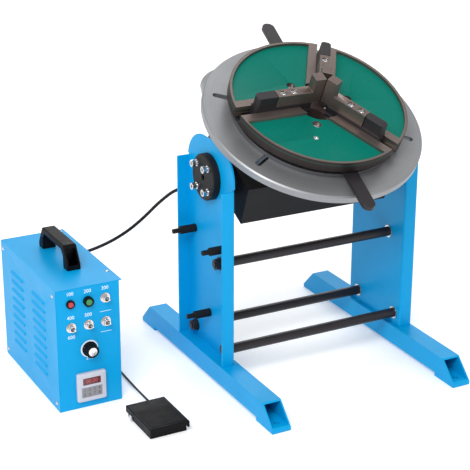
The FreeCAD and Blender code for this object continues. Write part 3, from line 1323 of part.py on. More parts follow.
# ================================================================ foot pedal
def pedal_pivot():
    """Point (y, z) of the treadle's hinge line."""
    return PEDAL_REAR - PIVOT_FROM_REAR, PIVOT_HEIGHT


def pedal_base():
    """Low tray on the floor with ears for the pivot and a post for the spring."""
    t = PEDAL_SHEET
    gap = t + TREADLE_GAP
    x0, x1 = PEDAL_X + gap, PEDAL_X + PEDAL_WIDTH - gap
    y0, y1 = PEDAL_Y + gap + 3, PEDAL_REAR - gap
    tray = block(x0, x1, y0, y1, 0, BASE_HEIGHT)
    tray = tray.cut(block(x0 + t, x1 - t, y0 + t, y1 - t, t, BASE_HEIGHT + 1))
    y, z = pedal_pivot()
    for x in (x0, x1 - t):
        tray = tray.fuse(rod(5, V(x, y, z), V(x + t, y, z)))
    post = rod(SPRING_GUIDE, V(PEDAL_MIDDLE, SPRING_Y, t), V(PEDAL_MIDDLE, SPRING_Y, t + BASE_GUIDE))
    tray = fuse([tray, post])
    tray = tray.cut(rod(PIVOT_RADIUS, V(x0 - 1, y, z), V(x1 + 1, y, z)))
    return tray.cut(rod(PEDAL_CORD / 2 + 1, V(cord_x(), y1 - t - 1, z), V(cord_x(), y1 + 1, z)))


def cord_x():
    """X of the cord's entry in the rear of the pedal."""
    return PEDAL_MIDDLE + CORD_OFFSET


def pedal_treadle():
    """Tread plate with side skirts and a front lip, over the base."""
    t = PEDAL_SHEET
    x0, x1 = PEDAL_X, PEDAL_X + PEDAL_WIDTH
    y0, y1 = PEDAL_Y, PEDAL_REAR
    top, low = PEDAL_HEIGHT, PEDAL_HEIGHT - t
    plate = block(x0, x1, y0, y1, low, top)
    skirts = [block(x, x + t, y0, y1, top - TREADLE_SKIRT, low) for x in (x0, x1 - t)]
    lip = block(x0, x1, y0, y0 + t, top - TREADLE_LIP, low)
    y, z = pedal_pivot()
    ears = [rod(5.5, V(x, y, z), V(x + t, y, z)) for x in (x0, x1 - t)]
    tread = fuse([plate, lip] + skirts + ears)
    rims = [e for e in tread.Edges if abs(e.BoundBox.ZMin - top) < 0.01 and abs(e.BoundBox.ZMax - top) < 0.01]
    tread = tread.makeFillet(1.5, rims)
    tread = tread.cut(rod(PIVOT_RADIUS + FIT, V(x0 - 1, y, z), V(x1 + 1, y, z)))
    boss = rod(SPRING_GUIDE, V(PEDAL_MIDDLE, SPRING_Y, low), V(PEDAL_MIDDLE, SPRING_Y, low - TREAD_GUIDE))
    return fuse([tread, boss])


def pedal_pin():
    """Pivot pin with screw heads outside the treadle."""
    y, z = pedal_pivot()
    x0, x1 = PEDAL_X, PEDAL_X + PEDAL_WIDTH
    pin = rod(PIVOT_RADIUS, V(x0 - 0.5, y, z), V(x1 + 0.5, y, z))
    heads = [rod(4.5, V(x0 - 2.5, y, z), V(x0 - 0.3, y, z)), rod(4.5, V(x1 + 0.3, y, z), V(x1 + 2.5, y, z))]
    return fuse([pin] + heads)


def pedal_spring():
    """Return spring between the base and the treadle."""
    low, high = PEDAL_SHEET, PEDAL_HEIGHT - PEDAL_SHEET
    rise = high - low - 2 * SPRING_WIRE
    helix = Part.makeHelix(rise / SPRING_TURNS, rise, SPRING_RADIUS - SPRING_WIRE)
    profile = Part.Wire(Part.makeCircle(SPRING_WIRE, V(SPRING_RADIUS - SPRING_WIRE, 0, 0), Y_AXIS))
    coil = Part.Wire(helix.Edges).makePipeShell([profile], True, True)
    coil.translate(V(PEDAL_MIDDLE, SPRING_Y, low + SPRING_WIRE))
    return coil


def pedal_boot():
    """Strain relief where the cord enters the pedal."""
    y = PEDAL_REAR - PEDAL_SHEET - TREADLE_GAP
    start = V(cord_x(), y, PIVOT_HEIGHT)
    plug = rod(PEDAL_CORD / 2 + 1, start - V(0, PEDAL_SHEET, 0), start)
    boot = Part.makeCone(PEDAL_CORD / 2 + 2, PEDAL_CORD / 2 + 0.8, BOOT_LENGTH, start, Y_AXIS)
    return fuse([plug, boot])


def foot_pedal():
    """Nodes of the foot pedal."""
    return {
        "pedal_base": pedal_base(),
        "pedal_treadle": pedal_treadle(),
        "pedal_pin": pedal_pin(),
        "pedal_spring": pedal_spring(),
    }


# ================================================================ cords
def head_cord_route():
    """Control points from the box's rear gland to the gland under the head."""
    x, z = HEAD_OUTLET
    start = V(x, BOX_REAR + GLAND_LENGTH, z)
    angle = math.radians(TILT - 90 + GLAND_ANGLE)
    way = V(0, math.cos(angle), math.sin(angle))
    end = V(GLAND_X, LEG_Y, AXIS_Z) + way * (GLAND_REACH + CORD_GAP)
    return [start, V(-405, 304, 150), V(-387, 340, 142), V(-342, 345, 133), V(-301, 326, 139),
            V(-258, 305, 159),
            V(-224, 284, 185), V(-198, 260, 218), V(-179, 226, 259), V(-161, 184, 296), V(-140, 143, 304),
            V(-121, 109, 287), end + way * 26, end]


def pedal_cord_route():
    """Control points from the box's rear gland, round its corner on the floor, to the pedal's boot."""
    x, z = PEDAL_OUTLET
    start = V(x, BOX_REAR + SMALL_GLAND_LENGTH, z)
    end = V(cord_x(), PEDAL_REAR - PEDAL_SHEET - TREADLE_GAP + BOOT_LENGTH, PIVOT_HEIGHT)
    return [start, V(-392, 291, 28), V(-389, 311, 11), V(-371, 328, 2.4), V(-349, 321, 2.1),
            V(-338, 293, 2.2),
            V(-334, 246, 2.1), V(-331, 190, 2.2), V(-333, 127, 2.1), V(-337, 60, 2.2), V(-340, -5, 3),
            end + V(0, 32, 0), end]


def cord(points, diameter, name):
    """Round tube along straight runs joined by tangent arcs as large as the runs allow."""
    edges = []
    last = points[0]
    radii = []
    for before, here, after in zip(points, points[1:], points[2:]):
        into, out = (here - before), (after - here)
        run = min(into.Length, out.Length)
        into.normalize()
        out.normalize()
        half = into.getAngle(out) / 2
        radius = 0.45 * run / math.tan(half)
        back = 0.45 * run
        a, b = here - into * back, here + out * back
        inward = (out - into).normalize()
        middle = here + inward * (radius / math.cos(half) - radius)
        edges.append(Part.makeLine(last, a))
        edges.append(Part.Arc(a, middle, b).toShape())
        last = b
        radii.append(radius)
    edges.append(Part.makeLine(last, points[-1]))
    path = Part.Wire(edges)
    start_way = points[1] - points[0]
    profile = Part.Wire(Part.makeCircle(diameter / 2, points[0], start_way))
    tube = path.makePipeShell([profile], True, False)
    section = math.pi * diameter ** 2 / 4
    print(name, "length", round(path.Length, 1), "radii", [round(r) for r in radii],
          "volume ratio", round(tube.Volume / (section * path.Length), 4), "valid", tube.isValid())
    return tube


def cords():
    """Nodes of the two cords."""
    return {
        "head_cable": cord(head_cord_route(), HEAD_CORD, "head_cable"),
        "pedal_cable": cord(pedal_cord_route(), PEDAL_CORD, "pedal_cable"),
    }


def main():
    """Build every node and write it."""
    os.makedirs("parts", exist_ok=True)
    for nodes in (stand(), head(), table(), control_box(), foot_pedal(), cords()):
        for name, shape in nodes.items():
            shape.exportStep(f"parts/{name}.step")
            print(name, len(shape.Solids), round(shape.Volume), shape.isValid())


main()
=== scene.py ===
"""Looks of the welding positioner: finishes for every part, and the pieces that are finer than the frame.

Lengths in the classes from Finish to Pedal are millimetres unless a line says otherwise, and turn to
metres where a mesh is made.  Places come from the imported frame: the spindle's joint gives the head's
own axes, and a node's box gives where it is."""
import json
import logging
import math
from dataclasses import dataclass, field
from enum import Enum
from typing import Any, Callable, Iterable, Sequence

import bmesh
import bpy
import numpy as np
from mathutils import Matrix, Vector

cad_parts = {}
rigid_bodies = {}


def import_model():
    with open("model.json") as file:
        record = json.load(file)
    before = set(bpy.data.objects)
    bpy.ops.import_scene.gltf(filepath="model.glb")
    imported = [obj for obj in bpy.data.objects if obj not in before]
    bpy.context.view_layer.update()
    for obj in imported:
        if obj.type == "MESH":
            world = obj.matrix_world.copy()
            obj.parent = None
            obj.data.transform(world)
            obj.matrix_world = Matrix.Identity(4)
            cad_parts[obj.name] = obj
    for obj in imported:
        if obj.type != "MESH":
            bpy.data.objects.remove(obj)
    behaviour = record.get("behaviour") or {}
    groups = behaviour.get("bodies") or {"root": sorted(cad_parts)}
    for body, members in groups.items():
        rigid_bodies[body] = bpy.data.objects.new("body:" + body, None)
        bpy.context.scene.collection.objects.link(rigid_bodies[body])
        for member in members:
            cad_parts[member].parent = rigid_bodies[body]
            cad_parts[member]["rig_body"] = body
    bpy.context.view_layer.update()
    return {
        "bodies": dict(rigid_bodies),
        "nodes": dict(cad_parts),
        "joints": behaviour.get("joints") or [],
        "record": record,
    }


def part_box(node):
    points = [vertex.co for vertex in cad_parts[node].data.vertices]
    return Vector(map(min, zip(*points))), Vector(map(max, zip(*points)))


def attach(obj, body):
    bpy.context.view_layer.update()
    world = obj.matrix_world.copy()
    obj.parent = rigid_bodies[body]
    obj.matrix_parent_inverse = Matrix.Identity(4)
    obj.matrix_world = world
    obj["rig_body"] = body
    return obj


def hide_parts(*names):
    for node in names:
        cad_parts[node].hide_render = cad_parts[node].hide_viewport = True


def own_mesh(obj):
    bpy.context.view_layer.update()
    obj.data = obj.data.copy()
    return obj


LOG = logging.getLogger("positioner")
MM = 0.001
MERGE = 2e-6            # points closer than this are one, in metres
SHARP = 32.0            # edges turned by more degrees than this stay sharp
SHEET_SHARP = 18.0      # the same on the case's sheet metal, which has pressed louvres
FLAT = 1.0              # faces turned by fewer degrees than this are merged into one
WASHER = 0.003          # a shell thinner than this is a washer, in metres
Array = np.ndarray
Triple = tuple[float, float, float]
Tree, Node, Socket = bpy.types.NodeTree, bpy.types.Node, bpy.types.NodeSocket
Mesh, Material, Object = bpy.types.Mesh, bpy.types.Material, bpy.types.Object


class Body(Enum):
    """Bodies of the frame that the pieces made here ride on."""

    STAND = "stand"
    KNOB = "knob"
    TREADLE = "treadle"


class Slot(Enum):
    """Material slots of the record, passed along with the pieces made here."""

    PAINT = "blue_paint"
    BLACK = "black_plastic"
    GREY = "grey_plastic"
    CHROME = "chrome"


# ---- small tools
def linear(code: str) -> tuple[float, float, float, float]:
    """Turn an sRGB hex colour to linear light.

    Args:
        code: Six hex digits with a leading hash.

    Returns:
        Red, green, blue and an alpha of one.
    """
    parts = [int(code[i:i + 2], 16) / 255.0 for i in (1, 3, 5)]
    light = [c / 12.92 if c <= 0.04045 else ((c + 0.055) / 1.055) ** 2.4 for c in parts]
    return light[0], light[1], light[2], 1.0


def add_node(tree: Tree, kind: str, settings: dict[str, Any] | None = None,
             inputs: dict[Any, Any] | None = None) -> Node:
    """Add one node with its settings and links.

    Args:
        tree: Node tree that gets the node.
        kind: Type of the node.
        settings: Properties to set.
        inputs: Socket name or number to a value, or to the output socket that feeds it.

    Returns:
        The new node.
    """
    node = tree.nodes.new(kind)
    for name, value in (settings or {}).items():
        setattr(node, name, value)
    for key, value in (inputs or {}).items():
        if isinstance(value, Socket):
            tree.links.new(value, node.inputs[key])
        else:
            node.inputs[key].default_value = value
    return node


def unit(vector: Sequence[float]) -> Array:
    """Return the vector at length one."""
    array = np.asarray(vector, float)
    return array / np.linalg.norm(array)


@dataclass(frozen=True)
class Axes:
    """A right-handed frame in the row's own, in metres, for pieces given in millimetres.

    Attributes:
        origin: Its origin.
        x: Direction of its x; only the part across z counts.
        z: Direction of its z.
    """

    origin: Triple
    x: Triple
    z: Triple

    def place(self, points: Array) -> Array:
        """Turn millimetres in this frame to metres in the row frame.

        Args:
            points: Any array whose last axis holds x, y and z.

        Returns:
            An array of the same shape.
        """
        z = unit(self.z)
        x = unit(np.asarray(self.x) - np.dot(self.x, z) * z)
        basis = np.stack([x, np.cross(z, x), z])
        return np.asarray(self.origin) + (np.asarray(points, float) * MM) @ basis

    def lifted(self, height: float, x: float = 0.0, y: float = 0.0) -> "Axes":
        """Return the same frame with its origin moved, in millimetres along its own axes."""
        return Axes(tuple(self.place(np.array([x, y, height]))), self.x, self.z)

    def matrix(self) -> Matrix:
        """Return the frame as a matrix from millimetres to metres.

        Returns:
            A matrix with the frame's axes as columns and its origin as the last one.
        """
        corner = self.place(np.zeros(3))
        columns = [self.place(axis) - corner for axis in np.eye(3)]
        rows = [[*(column[i] for column in columns), corner[i]] for i in range(3)]
        return Matrix([*rows, [0, 0, 0, 1]])


# ---- meshes
def grid_mesh(name: str, points: Array, around: bool = False, caps: bool = False) -> Mesh:
    """Make a mesh from a surface of two parameters.

    Args:
        name: Name of the mesh.
        points: Rows, columns and three coordinates in metres; rows follow the first parameter.
        around: The last column joins the first one.
        caps: The first and last rows are closed with one face each.

    Returns:
        A mesh whose neighbouring points are joined by four-sided faces.
    """
    rows, columns = points.shape[:2]
    index = np.arange(rows * columns).reshape(rows, columns)
    right = np.roll(index, -1, axis=1) if around else index[:, 1:]
    left = index if around else index[:, :-1]
    quads = np.stack([left[:-1], right[:-1], right[1:], left[1:]], axis=-1).reshape(-1, 4)
    faces: list[list[int]] = quads.tolist()
    if caps:
        faces += [index[0, ::-1].tolist(), index[-1].tolist()]
    mesh = bpy.data.meshes.new(name)
    mesh.from_pydata(points.reshape(-1, 3).tolist(), [], faces)
    tidy_mesh(mesh)
    return mesh


def tidy_mesh(mesh: Mesh) -> None:
    """Merge doubles, point faces outwards and shade smooth between sharp edges.

    Args:
        mesh: Mesh to change.
    """
    work = bmesh.new()
    work.from_mesh(mesh)
    bmesh.ops.remove_doubles(work, verts=work.verts, dist=MERGE)
    bmesh.ops.dissolve_degenerate(work, dist=1e-7, edges=work.edges)
    bmesh.ops.recalc_face_normals(work, faces=work.faces)
    work.to_mesh(mesh)
    work.free()
    mesh.shade_smooth()
    mesh.set_sharp_from_angle(angle=math.radians(SHARP))


def rounded(profile: Sequence[tuple[float, float]], radius: float, steps: int = 4) -> Array:
    """Round the inner corners of an open outline.

    Each corner is replaced by a quadratic curve: it starts and ends at a distance of radius from the
    corner, or at 0.45 of the shorter side, and has the corner as its middle control point.

    Args:
        profile: Points of the outline.
        radius: Distance from the corner at which the curve starts.
        steps: Points on each curve.

    Returns:
        Points of the rounded outline.
    """
    points = np.asarray(profile, float)
    before, here, after = points[:-2], points[1:-1], points[2:]
    into, out = before - here, after - here
    short = np.minimum(np.linalg.norm(into, axis=1), np.linalg.norm(out, axis=1))
    reach = np.minimum(radius, 0.45 * short)[:, None]
    a = here + into / np.linalg.norm(into, axis=1)[:, None] * reach
    b = here + out / np.linalg.norm(out, axis=1)[:, None] * reach
    t = np.linspace(0, 1, steps)[None, :, None]
    curve = (1 - t) ** 2 * a[:, None] + 2 * t * (1 - t) * here[:, None] + t ** 2 * b[:, None]
    return np.vstack([points[:1], curve.reshape(-1, 2), points[-1:]])


def revolved(name: str, axes: Axes, profile: Array, steps: int = 72,
             ripple: Callable[[Array, Array], Array] | None = None) -> Mesh:
    """Turn an outline about the z of a frame.

    A point at radius r and height h goes to (r cos u, r sin u, h) for u round the circle; ripple may
    change r as a function of u and h.

    Args:
        name: Name of the mesh.
        axes: Frame whose z is the axis.
        profile: Radii and heights, in millimetres; an end off the axis is capped.
        steps: Points round the circle.
        ripple: Function of angle and height that gives a factor for the radius.

    Returns:
        A closed mesh.
    """
    angle = np.linspace(0, 2 * np.pi, steps, endpoint=False)[None, :]
    radius, height = profile[:, 0][:, None], profile[:, 1][:, None]
    radius = radius * (ripple(angle, height) if ripple else np.ones_like(angle))
    height = height * np.ones_like(angle)
    points = np.stack([radius * np.cos(angle), radius * np.sin(angle), height], axis=-1)
    closed_ring = np.allclose(profile[0], profile[-1])
    return grid_mesh(name, axes.place(points), around=True, caps=not closed_ring)


def joined(name: str, meshes: Iterable[Mesh]) -> Mesh:
    """Join meshes as separate shells of one mesh.

    Args:
        name: Name of the new mesh.
        meshes: Meshes to join.

    Returns:
        A mesh shaded smooth between sharp edges.
    """
    work = bmesh.new()
    for mesh in meshes:
        work.from_mesh(mesh)
    out = bpy.data.meshes.new(name)
    work.to_mesh(out)
    work.free()
    out.shade_smooth()
    out.set_sharp_from_angle(angle=math.radians(SHARP))
    return out


def paint_washers(mesh: Mesh) -> None:
    """Give the mesh's second finish to its washers, which are the loose shells that are thin along x.

    Args:
        mesh: Mesh to change.
    """
    work = bmesh.new()
    work.from_mesh(mesh)
    left = set(work.verts)
    while left:
        shell = {left.pop()}
        edge = set(shell)
        while edge:
            edge = {e.other_vert(v) for v in edge for e in v.link_edges} - shell
            shell |= edge
        left -= shell
        reach = [v.co.x for v in shell]
        if max(reach) - min(reach) < WASHER:
            for face in {f for v in shell for f in v.link_faces}:
                face.material_index = 1
    work.to_mesh(mesh)
    work.free()


def make_piece(name: str, mesh: Mesh, material: Material, body: str,
               nodes: Sequence[str] = ()) -> Object:
    """Put a mesh in the scene as a piece of the object.

    Args:
        name: Name of the piece.
        mesh: Its mesh, in metres in the row frame.
        material: Its finish.
        body: Body of the frame that it rides on.
        nodes: Nodes of the frame that it stands for.

    Returns:
        The new object.
    """
    mesh.materials.clear()
    mesh.materials.append(material)
    piece = bpy.data.objects.new(name, mesh)
    bpy.context.scene.collection.objects.link(piece)
    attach(piece, body)
    if nodes:
        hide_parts(*nodes)
    LOG.info("%s rides on %s", name, body)
    return piece


def figure(text: str, axes: Axes, height: float, depth: float = 0.15) -> Mesh:
    """Make plain figures as a thin solid, centred in a frame's x-y plane.

    Args:
        text: Figures or a plain sign.
        axes: Frame to lie in.
        height: Height of a figure, in millimetres.
        depth: Thickness of the ink, in millimetres.

    Returns:
        A mesh in metres in the row frame.
    """
    curve = bpy.data.curves.new("figure", "FONT")
    curve.body = text
    curve.align_x = "CENTER"
    curve.align_y = "CENTER"
    curve.size = height * 1.4
    curve.extrude = depth / 2
    curve.resolution_u = 3
    holder = bpy.data.objects.new("figure", curve)
    bpy.context.scene.collection.objects.link(holder)
    bpy.context.view_layer.update()
    mesh = bpy.data.meshes.new_from_object(holder)
    bpy.data.objects.remove(holder)
    mesh.transform(axes.matrix())
    return mesh


# ---- finishes
@dataclass(frozen=True)
class Finish:
    """Base of every finish: a principled shader with patterns on Object coordinates.

    Attributes:
        name: Common name of the real material.
        colour: Main colour, as an sRGB hex code.
        second: Colour of its slow variation.
        grain: Size of that variation.
        roughness: Middle roughness.
        spread: How far roughness varies to each side.
        metallic: 0 for paint and plastic, 1 for bare metal.
        bump: Size of the surface's texture.
        relief: Height of that texture.
        coat: Clear coat on top.
        gloss: Strength of the mirror layer on paint and plastic; 0.5 is a clean one.
    """

    name: str
    colour: str
    second: str
    grain: float = 30.0
    roughness: float = 0.4
    spread: float = 0.05
    metallic: float = 0.0
    bump: float = 0.8
    relief: float = 0.01
    coat: float = 0.0
    gloss: float = 0.5

    def build(self) -> Material:
        """Make the material: colour, roughness and relief from noise at two sizes.

        Returns:
            The finished material.
        """
        material = bpy.data.materials.new(self.name)
        material.use_nodes = True
        tree = material.node_tree
        tree.nodes.clear()
        place = add_node(tree, "ShaderNodeTexCoord").outputs["Object"]
        slow = add_node(tree, "ShaderNodeTexNoise", {},
                        {"Vector": place, "Scale": 1000 / self.grain, "Detail": 4.0})
        colour = add_node(tree, "ShaderNodeMix", {"data_type": "RGBA"},
                          {0: slow.outputs["Fac"], 6: linear(self.colour), 7: linear(self.second)}).outputs[2]
        rough = add_node(tree, "ShaderNodeMapRange", {},
                         {"Value": slow.outputs["Fac"], 1: 0.3, 2: 0.7,
                          3: self.roughness - self.spread, 4: self.roughness + self.spread})
        colour, roughness, height = self.pattern(tree, place, colour, rough.outputs[0])
        bump = add_node(tree, "ShaderNodeBump", {},
                        {"Strength": 1.0, "Distance": self.relief * MM, "Height": height})
        shader = add_node(tree, "ShaderNodeBsdfPrincipled", {},
                          {"Base Color": colour, "Roughness": roughness, "Metallic": self.metallic,
                           "Specular IOR Level": self.gloss, "Coat Weight": self.coat, "Coat Roughness": 0.12,
                           "Normal": bump.outputs[0]})
        self.extras(tree, shader, place)
        add_node(tree, "ShaderNodeOutputMaterial", {}, {"Surface": shader.outputs[0]})
        return material

    def pattern(self, tree: Tree, place: Socket, colour: Socket, roughness: Socket) -> tuple[Socket, ...]:
        """Leave colour and roughness as they are, with plain fine noise as the height.

        Args:
            tree: Node tree of the material.
            place: Object coordinates.
            colour: Colour so far.
            roughness: Roughness so far.

        Returns:
            Colour, roughness and height.
        """
        fine = add_node(tree, "ShaderNodeTexNoise", {},
                        {"Vector": place, "Scale": 1000 / self.bump, "Detail": 2.0})
        return colour, roughness, fine.outputs["Fac"]

    def extras(self, tree: Tree, shader: Node, place: Socket) -> None:
        """Set what only some finishes have; nothing here.

        Args:
            tree: Node tree of the material.
            shader: Its principled shader.
            place: Object coordinates.
        """


@dataclass(frozen=True)
class TurnedSteel(Finish):
    """Steel faced on a lathe: fine rings about the spindle, and a highlight that fans out from it.

    Attributes:
        axes: Frame of the spindle.
        pitch: Distance between tool marks, in millimetres; real ones are ten times finer.
        anisotropy: How far the highlight is stretched across the rings.
    """

    axes: Axes = Axes((0, 0, 0), (1, 0, 0), (0, 0, 1))
    pitch: float = 1.6
    anisotropy: float = 0.75

    def spindle(self, tree: Tree, place: Socket) -> Socket:
        """Return a place as seen from the spindle's foot, in metres: z along it, x and y across."""
        turn = self.axes.matrix().to_3x3().normalized().to_euler()
        return add_node(tree, "ShaderNodeVectorRotate", {"rotation_type": "EULER_XYZ", "invert": True},
                        {"Vector": self.offset(tree, place), "Rotation": tuple(turn)}).outputs[0]

    def offset(self, tree: Tree, place: Socket) -> Socket:
        """Return the place less the spindle's foot, still along the row frame's axes."""
        return add_node(tree, "ShaderNodeVectorMath", {"operation": "SUBTRACT"},
                        {0: place, 1: self.axes.origin}).outputs[0]

    def radius(self, tree: Tree, local: Socket) -> Socket:
        """Return the distance from the spindle's axis, in metres."""
        flat = add_node(tree, "ShaderNodeVectorMath", {"operation": "MULTIPLY"}, {0: local, 1: (1, 1, 0)})
        return add_node(tree, "ShaderNodeVectorMath", {"operation": "LENGTH"},
                        {0: flat.outputs[0]}).outputs["Value"]

    def pattern(self, tree: Tree, place: Socket, colour: Socket, roughness: Socket) -> tuple[Socket, ...]:
        """Draw rings by noise of the radius alone, so that each keeps its height and tone all round.

        Args:
            tree: Node tree of the material.
            place: Object coordinates.
            colour: Colour so far.
            roughness: Roughness so far.

        Returns:
            Colour, roughness and height.
        """
        local = self.spindle(tree, place)
        radius = self.radius(tree, local)
        rings = add_node(tree, "ShaderNodeTexNoise", {"noise_dimensions": "1D"},
                         {"W": radius, "Scale": 1000 / self.pitch, "Detail": 3.0})
        tone = add_node(tree, "ShaderNodeMapRange", {},
                        {"Value": rings.outputs["Fac"], 1: 0.3, 2: 0.7, 3: 0.86, 4: 1.1})
        shaded = add_node(tree, "ShaderNodeMix", {"data_type": "RGBA", "blend_type": "MULTIPLY"},
                          {0: 1.0, 6: colour, 7: tone.outputs[0]})
        return shaded.outputs[2], roughness, rings.outputs["Fac"]

    def extras(self, tree: Tree, shader: Node, place: Socket) -> None:
        """Stretch the highlight across the rings: the tangent is the axis crossed with the radius.

        Args:
            tree: Node tree of the material.
            shader: Its principled shader.
            place: Object coordinates.
        """
        ring = add_node(tree, "ShaderNodeVectorMath", {"operation": "CROSS_PRODUCT"},
                        {0: tuple(unit(self.axes.z)), 1: self.offset(tree, place)})
        along = add_node(tree, "ShaderNodeVectorMath", {"operation": "NORMALIZE"}, {0: ring.outputs[0]})
        shader.inputs["Anisotropic"].default_value = self.anisotropy
        tree.links.new(along.outputs[0], shader.inputs["Tangent"])


@dataclass(frozen=True)
class EnamelledChuck(TurnedSteel):
    """Ground chuck steel whose sunk floors carry green hammer enamel.

    Attributes:
        floor: Height of the sunk floors above the spindle frame's origin.
        enamel: Colour of the enamel.
        speckle: Colour of its speckle.
        outside: Radius beyond which the steel is painted darker, as shade on the outer wall.
        wall_shade: Colour of the steel there.
        cells: Size of the enamel's hammer marks, of which there are nine in ten millimetres.
    """

    floor: float = 142.0
    enamel: str = "#006C5E"
    speckle: str = "#108A78"
    outside: float = 159.3
    # colour of the painted shade on the chuck's outer wall
    wall_shade: str = "#3A3433"
    cells: float = 10 / 9

    def painted(self, tree: Tree, local: Socket) -> Socket:
        """Return 1 at the sunk floors' height along the spindle, within a quarter millimetre, and else 0."""
        height = add_node(tree, "ShaderNodeSeparateXYZ", {}, {0: local}).outputs[2]
        return add_node(tree, "ShaderNodeMath", {"operation": "COMPARE"},
                        {0: height, 1: self.floor * MM, 2: 0.25 * MM}).outputs[0]

    def pattern(self, tree: Tree, place: Socket, colour: Socket, roughness: Socket) -> tuple[Socket, ...]:
        """Lay speckled enamel on the sunk floors and paint the outside wall darker, as shade.

        Args:
            tree: Node tree of the material.
            place: Object coordinates.
            colour: Colour so far.
            roughness: Roughness so far.

        Returns:
            Colour, roughness and height.
        """
        local = self.spindle(tree, place)
        mask = self.painted(tree, local)
        cells = add_node(tree, "ShaderNodeTexNoise", {},
                         {"Vector": place, "Scale": 1000 / self.cells, "Detail": 3.0, "Roughness": 0.7})
        fleck = add_node(tree, "ShaderNodeMapRange", {}, {"Value": cells.outputs["Fac"], 1: 0.52, 2: 0.72})
        paint = add_node(tree, "ShaderNodeMix", {"data_type": "RGBA"},
                         {0: fleck.outputs[0], 6: linear(self.enamel), 7: linear(self.speckle)})
        # painted shade: the wall beyond the outer radius is coloured darker
        wall = add_node(tree, "ShaderNodeMath", {"operation": "GREATER_THAN"},
                        {0: self.radius(tree, local), 1: self.outside * MM})
        colour = add_node(tree, "ShaderNodeMix", {"data_type": "RGBA"},
                          {0: wall.outputs[0], 6: colour, 7: linear(self.wall_shade)}).outputs[2]
        colour = add_node(tree, "ShaderNodeMix", {"data_type": "RGBA"},
                          {0: mask, 6: colour, 7: paint.outputs[2]}).outputs[2]
        rough = add_node(tree, "ShaderNodeMix", {}, {0: mask, 2: roughness, 3: 0.36})
        height = add_node(tree, "ShaderNodeMix", {}, {0: mask, 2: 0.5, 3: cells.outputs["Fac"]})
        return colour, rough.outputs[0], height.outputs[0]

    def extras(self, tree: Tree, shader: Node, place: Socket) -> None:
        """Make the enamel a paint without ring marks and leave the rest metal.

        Args:
            tree: Node tree of the material.
            shader: Its principled shader.
            place: Object coordinates.
        """
        super().extras(tree, shader, place)
        mask = self.painted(tree, self.spindle(tree, place))
        for socket, bare, painted in (("Metallic", self.metallic, 0.0), ("Anisotropic", self.anisotropy, 0.0),
                                      ("Specular IOR Level", 0.5, 0.07)):
            value = add_node(tree, "ShaderNodeMath", {"operation": "MULTIPLY_ADD"},
                             {0: mask, 1: painted - bare, 2: bare})
            tree.links.new(value.outputs[0], shader.inputs[socket])


@dataclass(frozen=True)
class Glow(Finish):
    """A finish that gives a little light of its own, such as clear plastic with a lamp behind it.

    Attributes:
        light: Colour of the light.
        strength: Its strength.
    """

    light: str = "#FF2010"
    strength: float = 0.3

    def extras(self, tree: Tree, shader: Node, place: Socket) -> None:
        """Set the light on the shader's own sockets."""
        shader.inputs["Emission Color"].default_value = linear(self.light)
        shader.inputs["Emission Strength"].default_value = self.strength


